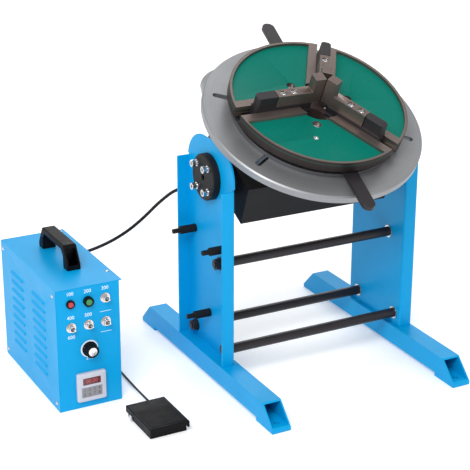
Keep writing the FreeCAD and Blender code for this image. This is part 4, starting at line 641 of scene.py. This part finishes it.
@dataclass
class Finishes:
    """Every finish of the object, built once.

    Attributes:
        spindle: Frame that the turned finishes are centred on.
        made: Material by name.
    """

    spindle: Axes
    made: dict[str, Material] = field(default_factory=dict)

    def recipes(self) -> list[Finish]:
        """List the finishes, each with what it gives the eye.

        Returns:
            One recipe for each material.
        """
        z = self.spindle
        return [
            # Polyester powder coat, oven cured: even colour, half gloss, soft orange peel.
            Finish("powder_coat_blue", "#009AD6", "#0094CE", 60, 0.4, 0.04, 0.0, 1.4, 0.02, gloss=0.16),
            # Black powder coat on the head's housing: matt, slightly coarse.
            Finish("powder_coat_black", "#0F0E10", "#161517", 40, 0.55, 0.06, 0.0, 0.9, 0.03, gloss=0.24),
            # Black oxide on turned and milled steel: dark, oily, with a dull metal gloss.
            Finish("black_oxide_steel", "#2A272A", "#312E31", 18, 0.42, 0.08, 0.5, 0.5, 0.006),
            # Mild steel faced on a lathe: ring marks and a fanned highlight.
            TurnedSteel("turned_steel", "#9C9DA0", "#8A8B8E", 70, 0.4, 0.04, 0.6, 1.0, 0.0015, axes=z,
                        anisotropy=0.5),
            # The same turned steel, painted darker as shade for the chuck's back plate, which lies under the
            # chuck.
            TurnedSteel("shaded_turned_steel", "#77787B", "#6C6D70", 30, 0.48, 0.05, 0.8, 1.0, 0.002, axes=z,
                        anisotropy=0.3),
            # Alloy steel of the chuck, turned, ground and warm grey, with enamelled floors and painted shade
            # on its outer wall.
            EnamelledChuck("chuck_steel_and_enamel", "#857973", "#776B66", 25, 0.42, 0.05, 0.85, 1.0, 0.01,
                           axes=z, anisotropy=0.15),
            # Hardened jaw steel, surface ground: warm grey with a satin face.
            Finish("hardened_jaw_steel", "#7F716C", "#72645F", 14, 0.4, 0.06, 0.85, 0.6, 0.004),
            # The same jaw steel, lighter on the jaws' rounded edges: rubbed wear together with a painted
            # glint.
            Finish("worn_and_glinting_steel", "#C2B6B0", "#AFA39D", 6, 0.3, 0.05, 1.0, 0.6, 0.002),
            # Brown phosphate on the spindle's flange.
            Finish("phosphated_steel", "#75645F", "#675753", 16, 0.55, 0.06, 0.35, 0.6, 0.006),
            # Zinc plate on screws and washers: bright, faintly blue.
            Finish("zinc_plate", "#D2D3D4", "#BFC2C6", 6, 0.24, 0.06, 1.0, 0.5, 0.004),
            # Bright chrome on switch parts.
            Finish("chrome_plate", "#E4DEDA", "#D8D2D0", 6, 0.14, 0.03, 1.0, 0.5, 0.001),
            # Dull brass of the toggles' bushes.
            Finish("dull_brass", "#6A5632", "#5C4A2A", 5, 0.35, 0.04, 0.6, 0.5, 0.001),
            # Tin bronze bushes, bored and faced.
            Finish("tin_bronze", "#B98A4A", "#A67C40", 12, 0.32, 0.05, 1.0, 0.5, 0.003),
            # Hobbed gear steel, lightly oiled.
            Finish("hobbed_steel", "#8C8D90", "#7C7D80", 12, 0.3, 0.05, 1.0, 0.5, 0.004),
            # Silver lacquer over the motor's cast end and rolled drum.
            Finish("silver_lacquer", "#A3A4A6", "#97989A", 22, 0.4, 0.05, 0.7, 0.7, 0.012),
            # Moulded ABS with a spark-eroded grain: handle, bezels, glands.
            Finish("moulded_black_abs", "#08080A", "#0D0C0F", 16, 0.46, 0.06, 0.0, 0.7, 0.03, gloss=0.12),
            # Ribbed rubber and the pedal's pads.
            Finish("black_rubber", "#1A1716", "#1F1C1A", 20, 0.62, 0.06, 0.0, 0.9, 0.03, gloss=0.14),
            # PVC jacket of both cords, extruded and smooth.
            Finish("pvc_jacket", "#0E0D0F", "#141315", 20, 0.42, 0.05, 0.0, 1.0, 0.006, gloss=0.3),
            # Light grey polycarbonate front of the timer.
            Finish("grey_polycarbonate", "#BFC1CC", "#B6B8C4", 14, 0.35, 0.04, 0.0, 0.6, 0.01, 0.3),
            Finish("keypad_grey", "#8B888D", "#7D7A80", 6, 0.5, 0.05, 0.0, 0.6, 0.02),
            # Dark red filter over the timer's digits.
            Finish("red_filter", "#6A3437", "#5C2B2F", 10, 0.2, 0.03, 0.0, 0.6, 0.001, 0.4),
            Glow("lit_digits", "#A04A50", "#A04A50", 10, 0.4, 0.02, light="#C0404C", strength=0.25),
            Glow("red_lens", "#B0081A", "#8E0614", 5, 0.14, 0.03, coat=0.7, light="#D00010", strength=0.18),
            Glow("green_lens", "#0E7A35", "#0A6A2E", 5, 0.18, 0.03, coat=0.7, light="#108030", strength=0.08),
            # Screen-printed ink.
            Finish("white_ink", "#E4EEF8", "#DCE8F4", 6, 0.5, 0.04, 0.0, 0.5, 0.004),
            Finish("dark_ink", "#3A363C", "#403C44", 6, 0.5, 0.04, 0.0, 0.5, 0.004),
            Finish("red_ink", "#7E1630", "#6E1029", 6, 0.5, 0.04, 0.0, 0.5, 0.004),
            # Spun aluminium cap of the knob.
            Finish("spun_aluminium", "#F0F0F2", "#E2E3E6", 5, 0.25, 0.05, 0.7, 0.5, 0.004),
            # Glass-epoxy board.
            Finish("board_green", "#1A5A34", "#164E2D", 10, 0.4, 0.05, 0.0, 0.6, 0.01),
        ]

    def build(self) -> None:
        """Build every material by name."""
        for recipe in self.recipes():
            self.made[recipe.name] = recipe.build()

    def __getitem__(self, name: str) -> Material:
        """Return a built material."""
        return self.made[name]


# ---- carried-over nodes
@dataclass
class Skins:
    """Smooth-shaded copies of the frame's nodes, with small edge rounding, in their finishes.

    Attributes:
        frame: The loaded frame.
        finishes: Finishes to use.
    """

    frame: dict[str, Any]
    finishes: Finishes

    def plain(self) -> dict[str, str]:
        """List the inner nodes that keep their own mesh and only get a finish.

        Returns:
            Name of the finish by node.
        """
        return {
            "trunnion_bushes": "tin_bronze", "spindle_bushes": "tin_bronze", "gearbox": "silver_lacquer",
            "drive_pinion": "hobbed_steel", "drive_gear": "hobbed_steel", "control_board": "board_green",
            "pedal_base": "moulded_black_abs",
        }

    def smooth(self) -> dict[str, tuple[str, float]]:
        """List the seen nodes, which are copied with their edges rounded.

        Returns:
            Finish and rounding in millimetres by node.
        """
        table = {
            "foot_tubes": ("powder_coat_blue", 0.9), "leg_left": ("powder_coat_blue", 0.7),
            "leg_right": ("powder_coat_blue", 0.7), "foot_pads": ("powder_coat_blue", 0.5),
            "tie_rods": ("black_oxide_steel", 0.0), "tie_rod_nuts": ("black_oxide_steel", 0.25),
            "side_posts": ("powder_coat_black", 0.4), "tilt_discs": ("powder_coat_black", 0.5),
            "tilt_screws": ("zinc_plate", 0.3), "trunnions": ("hobbed_steel", 0.4),
            "head_housing": ("powder_coat_black", 0.9), "head_cover": ("powder_coat_black", 0.6),
            "trunnion_screws": ("zinc_plate", 0.3), "gear_motor": ("silver_lacquer", 0.4),
            "head_cable_gland": ("moulded_black_abs", 0.3), "spindle": ("phosphated_steel", 0.5),
            "spindle_rings": ("hobbed_steel", 0.3), "worktable": ("turned_steel", 0.5),
            # the chuck's back plate takes the darker turned steel: painted shade under the chuck
            "table_screws": ("zinc_plate", 0.2), "chuck_back_plate": ("shaded_turned_steel", 0.4),
            "chuck_body": ("chuck_steel_and_enamel", 0.35), "scroll_ring": ("black_oxide_steel", 0.0),
            "scroll_levers": ("black_oxide_steel", 0.8), "case_body": ("powder_coat_blue", 0.4),
            "case_cover": ("powder_coat_blue", 0.4), "case_screws": ("zinc_plate", 0.2),
            "case_handle": ("moulded_black_abs", 0.8), "panel_bezels": ("moulded_black_abs", 0.3),
            "pilot_lamp": ("red_lens", 0.0), "push_button": ("green_lens", 0.0),
            "switch_bodies": ("chrome_plate", 0.2), "panel_timer": ("grey_polycarbonate", 0.4),
            "cable_glands": ("moulded_black_abs", 0.3), "mains_inlet": ("moulded_black_abs", 0.3),
            "pedal_treadle": ("moulded_black_abs", 0.5), "pedal_pin": ("zinc_plate", 0.3),
        }
        for number in (1, 2, 3):
            table[f"master_jaw_{number}"] = ("black_oxide_steel", 0.5)
            table[f"top_jaw_{number}"] = ("hardened_jaw_steel", 0.6)
            table[f"jaw_screws_{number}"] = ("zinc_plate", 0.2)
        for number in (1, 2, 3, 4):
            table[f"toggle_lever_{number}"] = ("chrome_plate", 0.0)
        return table

    def build(self) -> None:
        """Dress every node."""
        for name, finish in self.plain().items():
            node = self.frame["nodes"][name]
            node.data.materials.clear()
            node.data.materials.append(self.finishes[finish])
        for name, (finish, edge) in self.smooth().items():
            self.copy(name, finish, edge)
        self.spring()

    def spring(self) -> None:
        """Dress the pedal's spring and give the piece a mesh of its own."""
        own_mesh(self.copy("pedal_spring", "zinc_plate", 0.0))

    def copy(self, name: str, finish: str, edge: float) -> Object:
        """Copy one node, merge its triangles and round its edges.

        Args:
            name: Node of the frame.
            finish: Name of its finish.
            edge: Width of the rounding in millimetres, or zero.

        Returns:
            The piece that stands for the node.
        """
        node = self.frame["nodes"][name]
        mesh = node.data.copy()
        work = bmesh.new()
        work.from_mesh(mesh)
        bmesh.ops.remove_doubles(work, verts=work.verts, dist=MERGE)
        bmesh.ops.dissolve_limit(work, angle_limit=math.radians(FLAT), verts=work.verts, edges=work.edges)
        work.to_mesh(mesh)
        work.free()
        angle = math.radians(SHEET_SHARP if name in ("case_cover", "case_body") else SHARP)
        mesh.shade_smooth()
        mesh.set_sharp_from_angle(angle=angle)
        piece = make_piece(f"{name}_finish", mesh, self.finishes[finish], node["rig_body"], [name])
        if edge:
            bevel = piece.modifiers.new("edge", "BEVEL")
            bevel.width = edge * MM
            bevel.segments = 2
            bevel.limit_method = "ANGLE"
            bevel.angle_limit = angle
            bevel.harden_normals = True
            bevel.use_clamp_overlap = True
            # the jaws' rounded edges take lighter steel: rubbed wear and a painted glint
            if finish == "hardened_jaw_steel":
                mesh.materials.append(self.finishes["worn_and_glinting_steel"])
                bevel.material = 1
        if name == "tie_rod_nuts":
            mesh.materials.append(self.finishes["zinc_plate"])
            paint_washers(mesh)
        return piece


# ---- cords
@dataclass
class Cords:
    """Both cords, each on one smooth line that its route's control points pull along.

    Attributes:
        finishes: Finishes to use.
        head_route: Control points from the case's gland to the tilting head's.
        pedal_route: The same from the case's lower gland to the pedal's back.
    """

    finishes: Finishes
    head_route: tuple[Triple, ...] = (
        (-405, 272, 150), (-405, 304, 150), (-387, 340, 142), (-342, 345, 133), (-301, 326, 139),
        (-258, 305, 159), (-224, 284, 185), (-198, 260, 218), (-179, 226, 259), (-161, 184, 296),
        (-140, 143, 304), (-121, 109, 287), (-115, 80.1288, 304.8712), (-115, 61.744, 323.256))
    pedal_route: tuple[Triple, ...] = (
        (-392, 265, 28), (-392, 291, 28), (-389, 311, 11), (-371, 328, 2.4), (-349, 321, 2.1),
        (-338, 293, 2.2), (-334, 246, 2.1), (-331, 190, 2.2), (-333, 127, 2.1), (-337, 60, 2.2),
        (-340, -5, 3), (-344.5, -46, 8.5), (-344.5, -78, 8.5))

    def curve(self, name: str, route: Sequence[Triple], diameter: float) -> Object:
        """Make a round cord on a spline through control points.

        Args:
            name: Name of the piece.
            route: Control points in millimetres.
            diameter: Of the cord.

        Returns:
            The curve object.
        """
        curve = bpy.data.curves.new(name, "CURVE")
        curve.dimensions = "3D"
        spline = curve.splines.new("NURBS")
        spline.points.add(len(route) - 1)
        for point, place in zip(spline.points, route):
            point.co = (*(c * MM for c in place), 1.0)
        spline.order_u = 3
        spline.use_endpoint_u = True
        spline.resolution_u = 12
        curve.bevel_depth = diameter / 2 * MM
        curve.bevel_resolution = 5
        curve.use_fill_caps = True
        piece = bpy.data.objects.new(name, curve)
        bpy.context.scene.collection.objects.link(piece)
        curve.materials.append(self.finishes["pvc_jacket"])
        return piece

    def length(self, piece: Object) -> float:
        """Return the length of a curve's own line, in metres."""
        return sum(s.calc_length() for s in piece.data.splines)

    def build(self) -> None:
        for name, route, diameter, stiffness in (("head_cable", self.head_route, 6.5, "medium"),
                                                 ("pedal_cable", self.pedal_route, 4.0, "medium")):
            piece = self.curve(f"{name}_cord", route, diameter)
            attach(piece, Body.STAND.value)
            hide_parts(name)
            LOG.info("%s is %.3f m long", name, self.length(piece))


# ---- control panel
@dataclass
class Panel:
    """What is printed on the control case's front, and the collars of its toggles.

    Attributes:
        finishes: Finishes to use.
        pitch: Distance between the upper and the lower row of controls.
        step: Height of a figure's middle above or below its control.
        figure_height: Height of a figure.
        ink: Distance from the panel to the back of what is printed on it.
        line: Length, height and thickness of a printed line.
        collar: Radius of a collar's hole, front and root.
    """

    finishes: Finishes
    pitch: float = 44.0
    step: float = 18.0
    figure_height: float = 6.4
    ink: float = 0.05
    line: Triple = (20.0, 0.7, 0.12)
    collar: Triple = (2.9, 4.0, 4.2)

    def spot(self, node: str) -> Array:
        """Return the middle of a node of the frame, in millimetres."""
        low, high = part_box(node)
        return (np.asarray(low) + np.asarray(high)) / 2 / MM

    def face(self) -> float:
        """Return the y of the panel's face, which is the front of the case's body, in millimetres."""
        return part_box("case_body")[0][1] / MM

    def row(self, node: str) -> float:
        """Find the row of controls that a node is in, the upper one or the lower one.

        Args:
            node: Node of the frame.

        Returns:
            Height of the row, in millimetres.
        """
        upper = self.spot("pilot_lamp")[2]
        lower = upper - self.pitch
        return upper if self.spot(node)[2] > (upper + lower) / 2 else lower

    def front(self, x: float, z: float, rise: float = 0.0) -> Axes:
        """Give a frame on the panel: x to the right, y up and z out of it.

        Args:
            x: Place in the row frame.
            z: Height in the row frame.
            rise: Distance in front of the panel.

        Returns:
            The frame.
        """
        return Axes((x * MM, (self.face() - rise) * MM, z * MM), (1.0, 0.0, 0.0), (0.0, -1.0, 0.0))

    def put(self, name: str, mesh: Mesh, finish: str, slot: Slot, body: Body = Body.STAND,
            nodes: Sequence[str] = ()) -> None:
        """Add one piece of the panel.

        Args:
            name: Name of the piece.
            mesh: Its mesh.
            finish: Name of its finish.
            slot: Material slot of the record; not used.
            body: Body that it rides on.
            nodes: Nodes of the frame that it stands for.
        """
        make_piece(name, mesh, self.finishes[finish], body.value, nodes)

    def plate(self, name: str, axes: Axes, size: Sequence[float], finish: str, slot: Slot,
              body: Body = Body.STAND) -> None:
        """Add a flat rectangular plate centred on a frame, from its plane out to a depth.

        Args:
            name: Name of the piece.
            axes: Frame of the plate.
            size: Along x, y and z.
            finish: Name of its finish.
            slot: Material slot of the record.
            body: Body that it rides on.
        """
        x, y, depth = size[0] / 2, size[1] / 2, size[2]
        ring = np.array([[-x, -y], [x, -y], [x, y], [-x, y]])
        rows = np.stack([np.column_stack([ring, np.full(4, z)]) for z in (0.0, depth)])
        self.put(name, grid_mesh(name, axes.place(rows), around=True, caps=True), finish, slot, body)

    def figures(self) -> None:
        """Print plain figures by the lamp, the button and the toggles, and two lines at the last toggle."""
        marks = [("pilot_lamp", 1), ("push_button", 1), ("toggle_lever_1", 1), ("toggle_lever_2", 1),
                 ("toggle_lever_3", 1), ("toggle_lever_2", -1)]
        rows = {node: self.row(node) for node, _ in marks}
        for number, (node, side) in enumerate(marks, 1):
            place = self.front(self.spot(node)[0], rows[node] + side * self.step, self.ink)
            mesh = figure(f"{number}00", place, self.figure_height)
            self.put(f"figure_{number}", mesh, "white_ink", Slot.PAINT)
        x, row = self.spot("toggle_lever_4")[0], self.row("toggle_lever_4")
        for number, side in enumerate((1, -1), 1):
            place = self.front(x, row + side * (self.step + 1))
            self.plate(f"panel_line_{number}", place, self.line, "white_ink", Slot.PAINT)

    def collars(self) -> None:
        """Put a brass collar round the root of each toggle's lever."""
        hole, tip, root = self.collar
        base = self.face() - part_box("switch_bodies")[0][1] / MM
        low, high = base - 0.6, base + 0.25
        ring = np.array([(root, low), (tip, high), (hole, high), (hole, low), (root, low)])
        for number in (1, 2, 3, 4):
            node = f"toggle_lever_{number}"
            axes = self.front(self.spot(node)[0], self.row(node))
            mesh = revolved("toggle_collar", axes, ring, 40)
            self.put(f"toggle_collar_{number}", mesh, "dull_brass", Slot.CHROME)

    def build(self) -> None:
        """Build everything on the panel."""
        self.figures()
        self.collars()
        Knob(self).build()
        Timer(self).build()


@dataclass
class Knob:
    """Fluted speed knob with its cap and pointer, and the white dial behind it.

    Attributes:
        panel: Panel that it is set in.
        gap: Distance from the panel to the skirt's foot.
        stem: Radius of the stem that goes into the panel.
        skirt: Height of the smooth skirt above the panel.
        flutes: Number of grooves round the grip.
        groove: Depth of a groove as a share of the radius.
        cap: Radius of the aluminium cap.
        pointer: Length, width and thickness of the red pointer.
        turn: Angle from the panel's x to the pointer, in degrees.
        dial: Inner radius, outer radius and thickness of the dial.
    """

    panel: Panel
    gap: float = 0.8
    stem: float = 3.0
    skirt: float = 3.4
    flutes: int = 28
    groove: float = 0.045
    cap: float = 7.8
    pointer: Triple = (6.0, 1.6, 0.5)
    turn: float = 150.0
    dial: Triple = (3.6, 16.0, 0.4)

    def grip(self, axes: Axes, radius: float, reach: float) -> None:
        """Build the skirt, the fluted grip and the stem in the panel.

        Args:
            axes: Frame of the knob on the panel.
            radius: Of the skirt.
            reach: Height of the cap above the panel.
        """

        def flute(angle: Array, height: Array) -> Array:
            """Sink a cosine groove into the grip and none into the skirt and the crown."""
            depth = np.where((height > self.skirt + 1.1) & (height < reach - 1.5), self.groove, 0.0)
            return 1.0 - depth * (0.5 + 0.5 * np.cos(self.flutes * angle))

        outline = [(self.stem, self.gap), (radius, self.gap), (radius, self.skirt),
                   (radius - 0.9, self.skirt + 0.6), (radius - 1.1, self.skirt + 1.4),
                   (radius - 1.7, reach - 1.8), (radius - 2.3, reach - 0.8),
                   (self.cap + 0.6, reach - 0.4), (0.5, reach - 0.4)]
        body = revolved("knob_body", axes, rounded(outline, 0.5, 3), self.flutes * 10, flute)
        stem = revolved("knob_stem", axes, np.array([(self.stem, -10.0), (self.stem, 1.0)]), 32)
        self.panel.put("knob_fluted", joined("knob_fluted", [body, stem]), "moulded_black_abs", Slot.BLACK,
                       Body.KNOB, ["speed_knob"])

    def mark(self, axes: Axes, radius: float) -> None:
        """Lay the pointer on the skirt.

        Args:
            axes: Frame of the knob on the panel.
            radius: Of the skirt.
        """
        across, up = math.cos(math.radians(self.turn)), math.sin(math.radians(self.turn))
        root = np.array([(radius - 0.6) * across, (radius - 0.6) * up, 5.0])
        frame = Axes(tuple(axes.place(root)), (0.0, -1.0, 0.0), (across, 0.0, up))
        self.panel.plate("knob_pointer", frame, self.pointer, "red_ink", Slot.BLACK, Body.KNOB)

    def build(self) -> None:
        """Build the knob, its cap, its pointer, the dial and the dial's figures."""
        panel = self.panel
        low, high = (np.asarray(corner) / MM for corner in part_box("speed_knob"))
        x, z = (low[0] + high[0]) / 2, (low[2] + high[2]) / 2
        radius, reach = (high[0] - low[0]) / 2, panel.face() - low[1]
        axes = panel.front(x, z)
        self.grip(axes, radius, reach)
        cap = rounded([(self.cap, reach - 0.6), (self.cap, reach - 0.05), (0.4, reach)], 0.3, 3)
        panel.put("knob_cap", revolved("knob_cap", axes, cap, 64), "spun_aluminium", Slot.CHROME, Body.KNOB)
        self.mark(axes, radius)
        hole, outer, thick = self.dial
        back = panel.ink
        ring = np.array([(outer, back), (outer, thick), (hole, thick), (hole, back), (outer, back)])
        panel.put("knob_dial", revolved("knob_dial", axes, ring, 96), "white_ink", Slot.PAINT)
        mesh = figure("0 - 9", panel.front(x, z - panel.step - 1, panel.ink), panel.figure_height * 0.7)
        panel.put("figure_speed", mesh, "white_ink", Slot.PAINT)


@dataclass
class Timer:
    """Window and keypad of the timer, with plain figures on both.

    Attributes:
        panel: Panel that it is set in.
        window: Width, height and thickness of the red window.
        keypad: Width, height and thickness of the keypad.
        middles: Height of both middles above the timer's own.
        sunk: Distance from the timer's front back to both.
        keys: Distance between keys across and up.
        heights: Height of the window's and of the keys' figures.
    """

    panel: Panel
    window: Triple = (32.6, 12.6, 0.5)
    keypad: Triple = (37.6, 18.6, 0.4)
    middles: tuple[float, float] = (11.0, -9.5)
    sunk: float = 1.1
    keys: tuple[float, float] = (9.0, 8.6)
    heights: tuple[float, float] = (7.0, 5.6)

    def build(self) -> None:
        """Fill the window and the keypad."""
        panel = self.panel
        low, high = (np.asarray(corner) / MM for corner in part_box("panel_timer"))
        x, z = (low[0] + high[0]) / 2, (low[2] + high[2]) / 2
        rise = panel.face() - low[1] - self.sunk
        window, keypad = (panel.front(x, z + middle, rise) for middle in self.middles)
        panel.plate("timer_window", window, self.window, "red_filter", Slot.GREY)
        digits = figure("00.00", window.lifted(self.window[2] + panel.ink), self.heights[0], 0.1)
        panel.put("timer_digits", digits, "lit_digits", Slot.GREY)
        panel.plate("timer_keypad", keypad, self.keypad, "keypad_grey", Slot.GREY)
        for number in range(8):
            column, row = number % 4, number // 4
            place = keypad.lifted(0.42, (column - 1.5) * self.keys[0], (0.5 - row) * self.keys[1])
            mesh = figure(str(number + 1), place, self.heights[1], 0.1)
            panel.put(f"timer_key_{number + 1}", mesh, "dark_ink", Slot.GREY)


@dataclass
class Pedal:
    """Rubber mat on the pedal's treadle.

    Attributes:
        finishes: Finishes to use.
        border: Distance from the treadle's edges.
        thick: Thickness of the mat above the treadle.
        share: Share of the treadle's length that the mat reaches over.
    """

    finishes: Finishes
    border: float = 5.0
    thick: float = 0.7
    share: float = 0.68

    def build(self) -> None:
        """Lay the mat over the front two thirds of the treadle's top, just above it."""
        low, high = (np.asarray(corner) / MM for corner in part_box("pedal_treadle"))
        left, right = low[0] + self.border, high[0] - self.border
        front, back = low[1] + self.border, low[1] + self.share * (high[1] - low[1])
        ring = np.array([[left, front], [right, front], [right, back], [left, back]])
        middle = ring.mean(axis=0)
        levels = ((1.0, -0.3), (1.0, 0.3), (0.985, self.thick))  # share of the outline, height
        rows = [np.column_stack([middle + (ring - middle) * scale, np.full(4, high[2] + rise)])
                for scale, rise in levels]
        mesh = grid_mesh("pedal_mat", np.stack(rows) * MM, around=True, caps=True)
        make_piece("pedal_mat", mesh, self.finishes["black_rubber"], Body.TREADLE.value)


# ---- studio
@dataclass(frozen=True)
class Studio:
    """Camera, floor and soft light.

    Attributes:
        camera_place: Place of the camera, in metres.
        heading: Its turn from the row's y towards x, in degrees.
        downward: How far it looks down, in degrees.
        roll: Its turn about its own line of sight, in degrees.
        lens: Its focal length, in millimetres.
    """

    camera_place: Triple = (-1.2434, -2.0950, 1.1599)
    heading: float = 27.859
    downward: float = 20.826
    roll: float = 0.159
    lens: float = 108.23

    def camera(self) -> None:
        """Point a long lens at the object from its front left."""
        data = bpy.data.cameras.new("camera")
        data.lens = self.lens
        data.sensor_width = 36.0
        data.clip_end = 50.0
        camera = bpy.data.objects.new("camera", data)
        bpy.context.scene.collection.objects.link(camera)
        turn = (Matrix.Rotation(math.radians(-self.heading), 4, "Z")
                @ Matrix.Rotation(math.radians(90 - self.downward), 4, "X")
                @ Matrix.Rotation(math.radians(self.roll), 4, "Z"))
        camera.matrix_world = Matrix.Translation(self.camera_place) @ turn
        bpy.context.scene.camera = camera

    def floor(self) -> None:
        """Lay a plain pale floor."""
        size = 30.0
        corners = np.array([[-size, -size, 0], [size, -size, 0], [-size, size, 0], [size, size, 0]])
        mesh = grid_mesh("floor", corners.reshape(2, 2, 3) - np.array([0, 0, 0.0005]))
        mesh.materials.append(Glow("studio_floor", "#F4F4F4", "#F4F4F4", 900, 0.8, 0.0, light="#FFFFFF",
                                   strength=0.22).build())
        floor = bpy.data.objects.new("floor", mesh)
        bpy.context.scene.collection.objects.link(floor)

    def light(self, name: str, place: Sequence[float], target: Sequence[float], size: float,
              power: float) -> None:
        """Hang a square soft box that faces a point.

        Args:
            name: Name of the light.
            place: Its place, in metres.
            target: Point that it faces, in metres.
            size: Length of its side, in metres.
            power: In watts.
        """
        data = bpy.data.lights.new(name, "AREA")
        data.size = size
        data.energy = power
        lamp = bpy.data.objects.new(name, data)
        bpy.context.scene.collection.objects.link(lamp)
        lamp.location = place
        lamp.rotation_euler = (Vector(target) - Vector(place)).to_track_quat("-Z", "Y").to_euler()

    def world(self) -> None:
        """Fill the room with even white light."""
        world = bpy.data.worlds.new("studio")
        world.use_nodes = True
        tree = world.node_tree
        tree.nodes.clear()
        shade = add_node(tree, "ShaderNodeBackground", {}, {"Color": (1, 1, 1, 1), "Strength": 0.76})
        add_node(tree, "ShaderNodeOutputWorld", {}, {"Surface": shade.outputs[0]})
        bpy.context.scene.world = world

    def build(self) -> None:
        """Set the studio up."""
        self.camera()
        self.floor()
        self.world()
        middle = (-0.1, 0.0, 0.3)
        self.light("key", (-2.0, -1.8, 2.6), middle, 1.6, 80)
        self.light("back", (1.2, 2.4, 2.4), middle, 1.8, 35)
        bpy.context.scene.view_settings.view_transform = "Standard"


def main() -> None:
    """Dress the frame and build the pieces in order."""
    logging.basicConfig(level=logging.INFO, format="%(message)s")
    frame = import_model()
    spin = next(j for j in frame["joints"] if j["name"] == "table_spin")
    spindle = Axes(tuple(spin["pos_m"]), (1.0, 0.0, 0.0), tuple(spin["axis"]))
    studio = Studio()
    studio.build()
    finishes = Finishes(spindle)
    finishes.build()
    Cords(finishes).build()
    Skins(frame, finishes).build()
    Panel(finishes).build()
    Pedal(finishes).build()


if __name__ == "__main__":
    main()
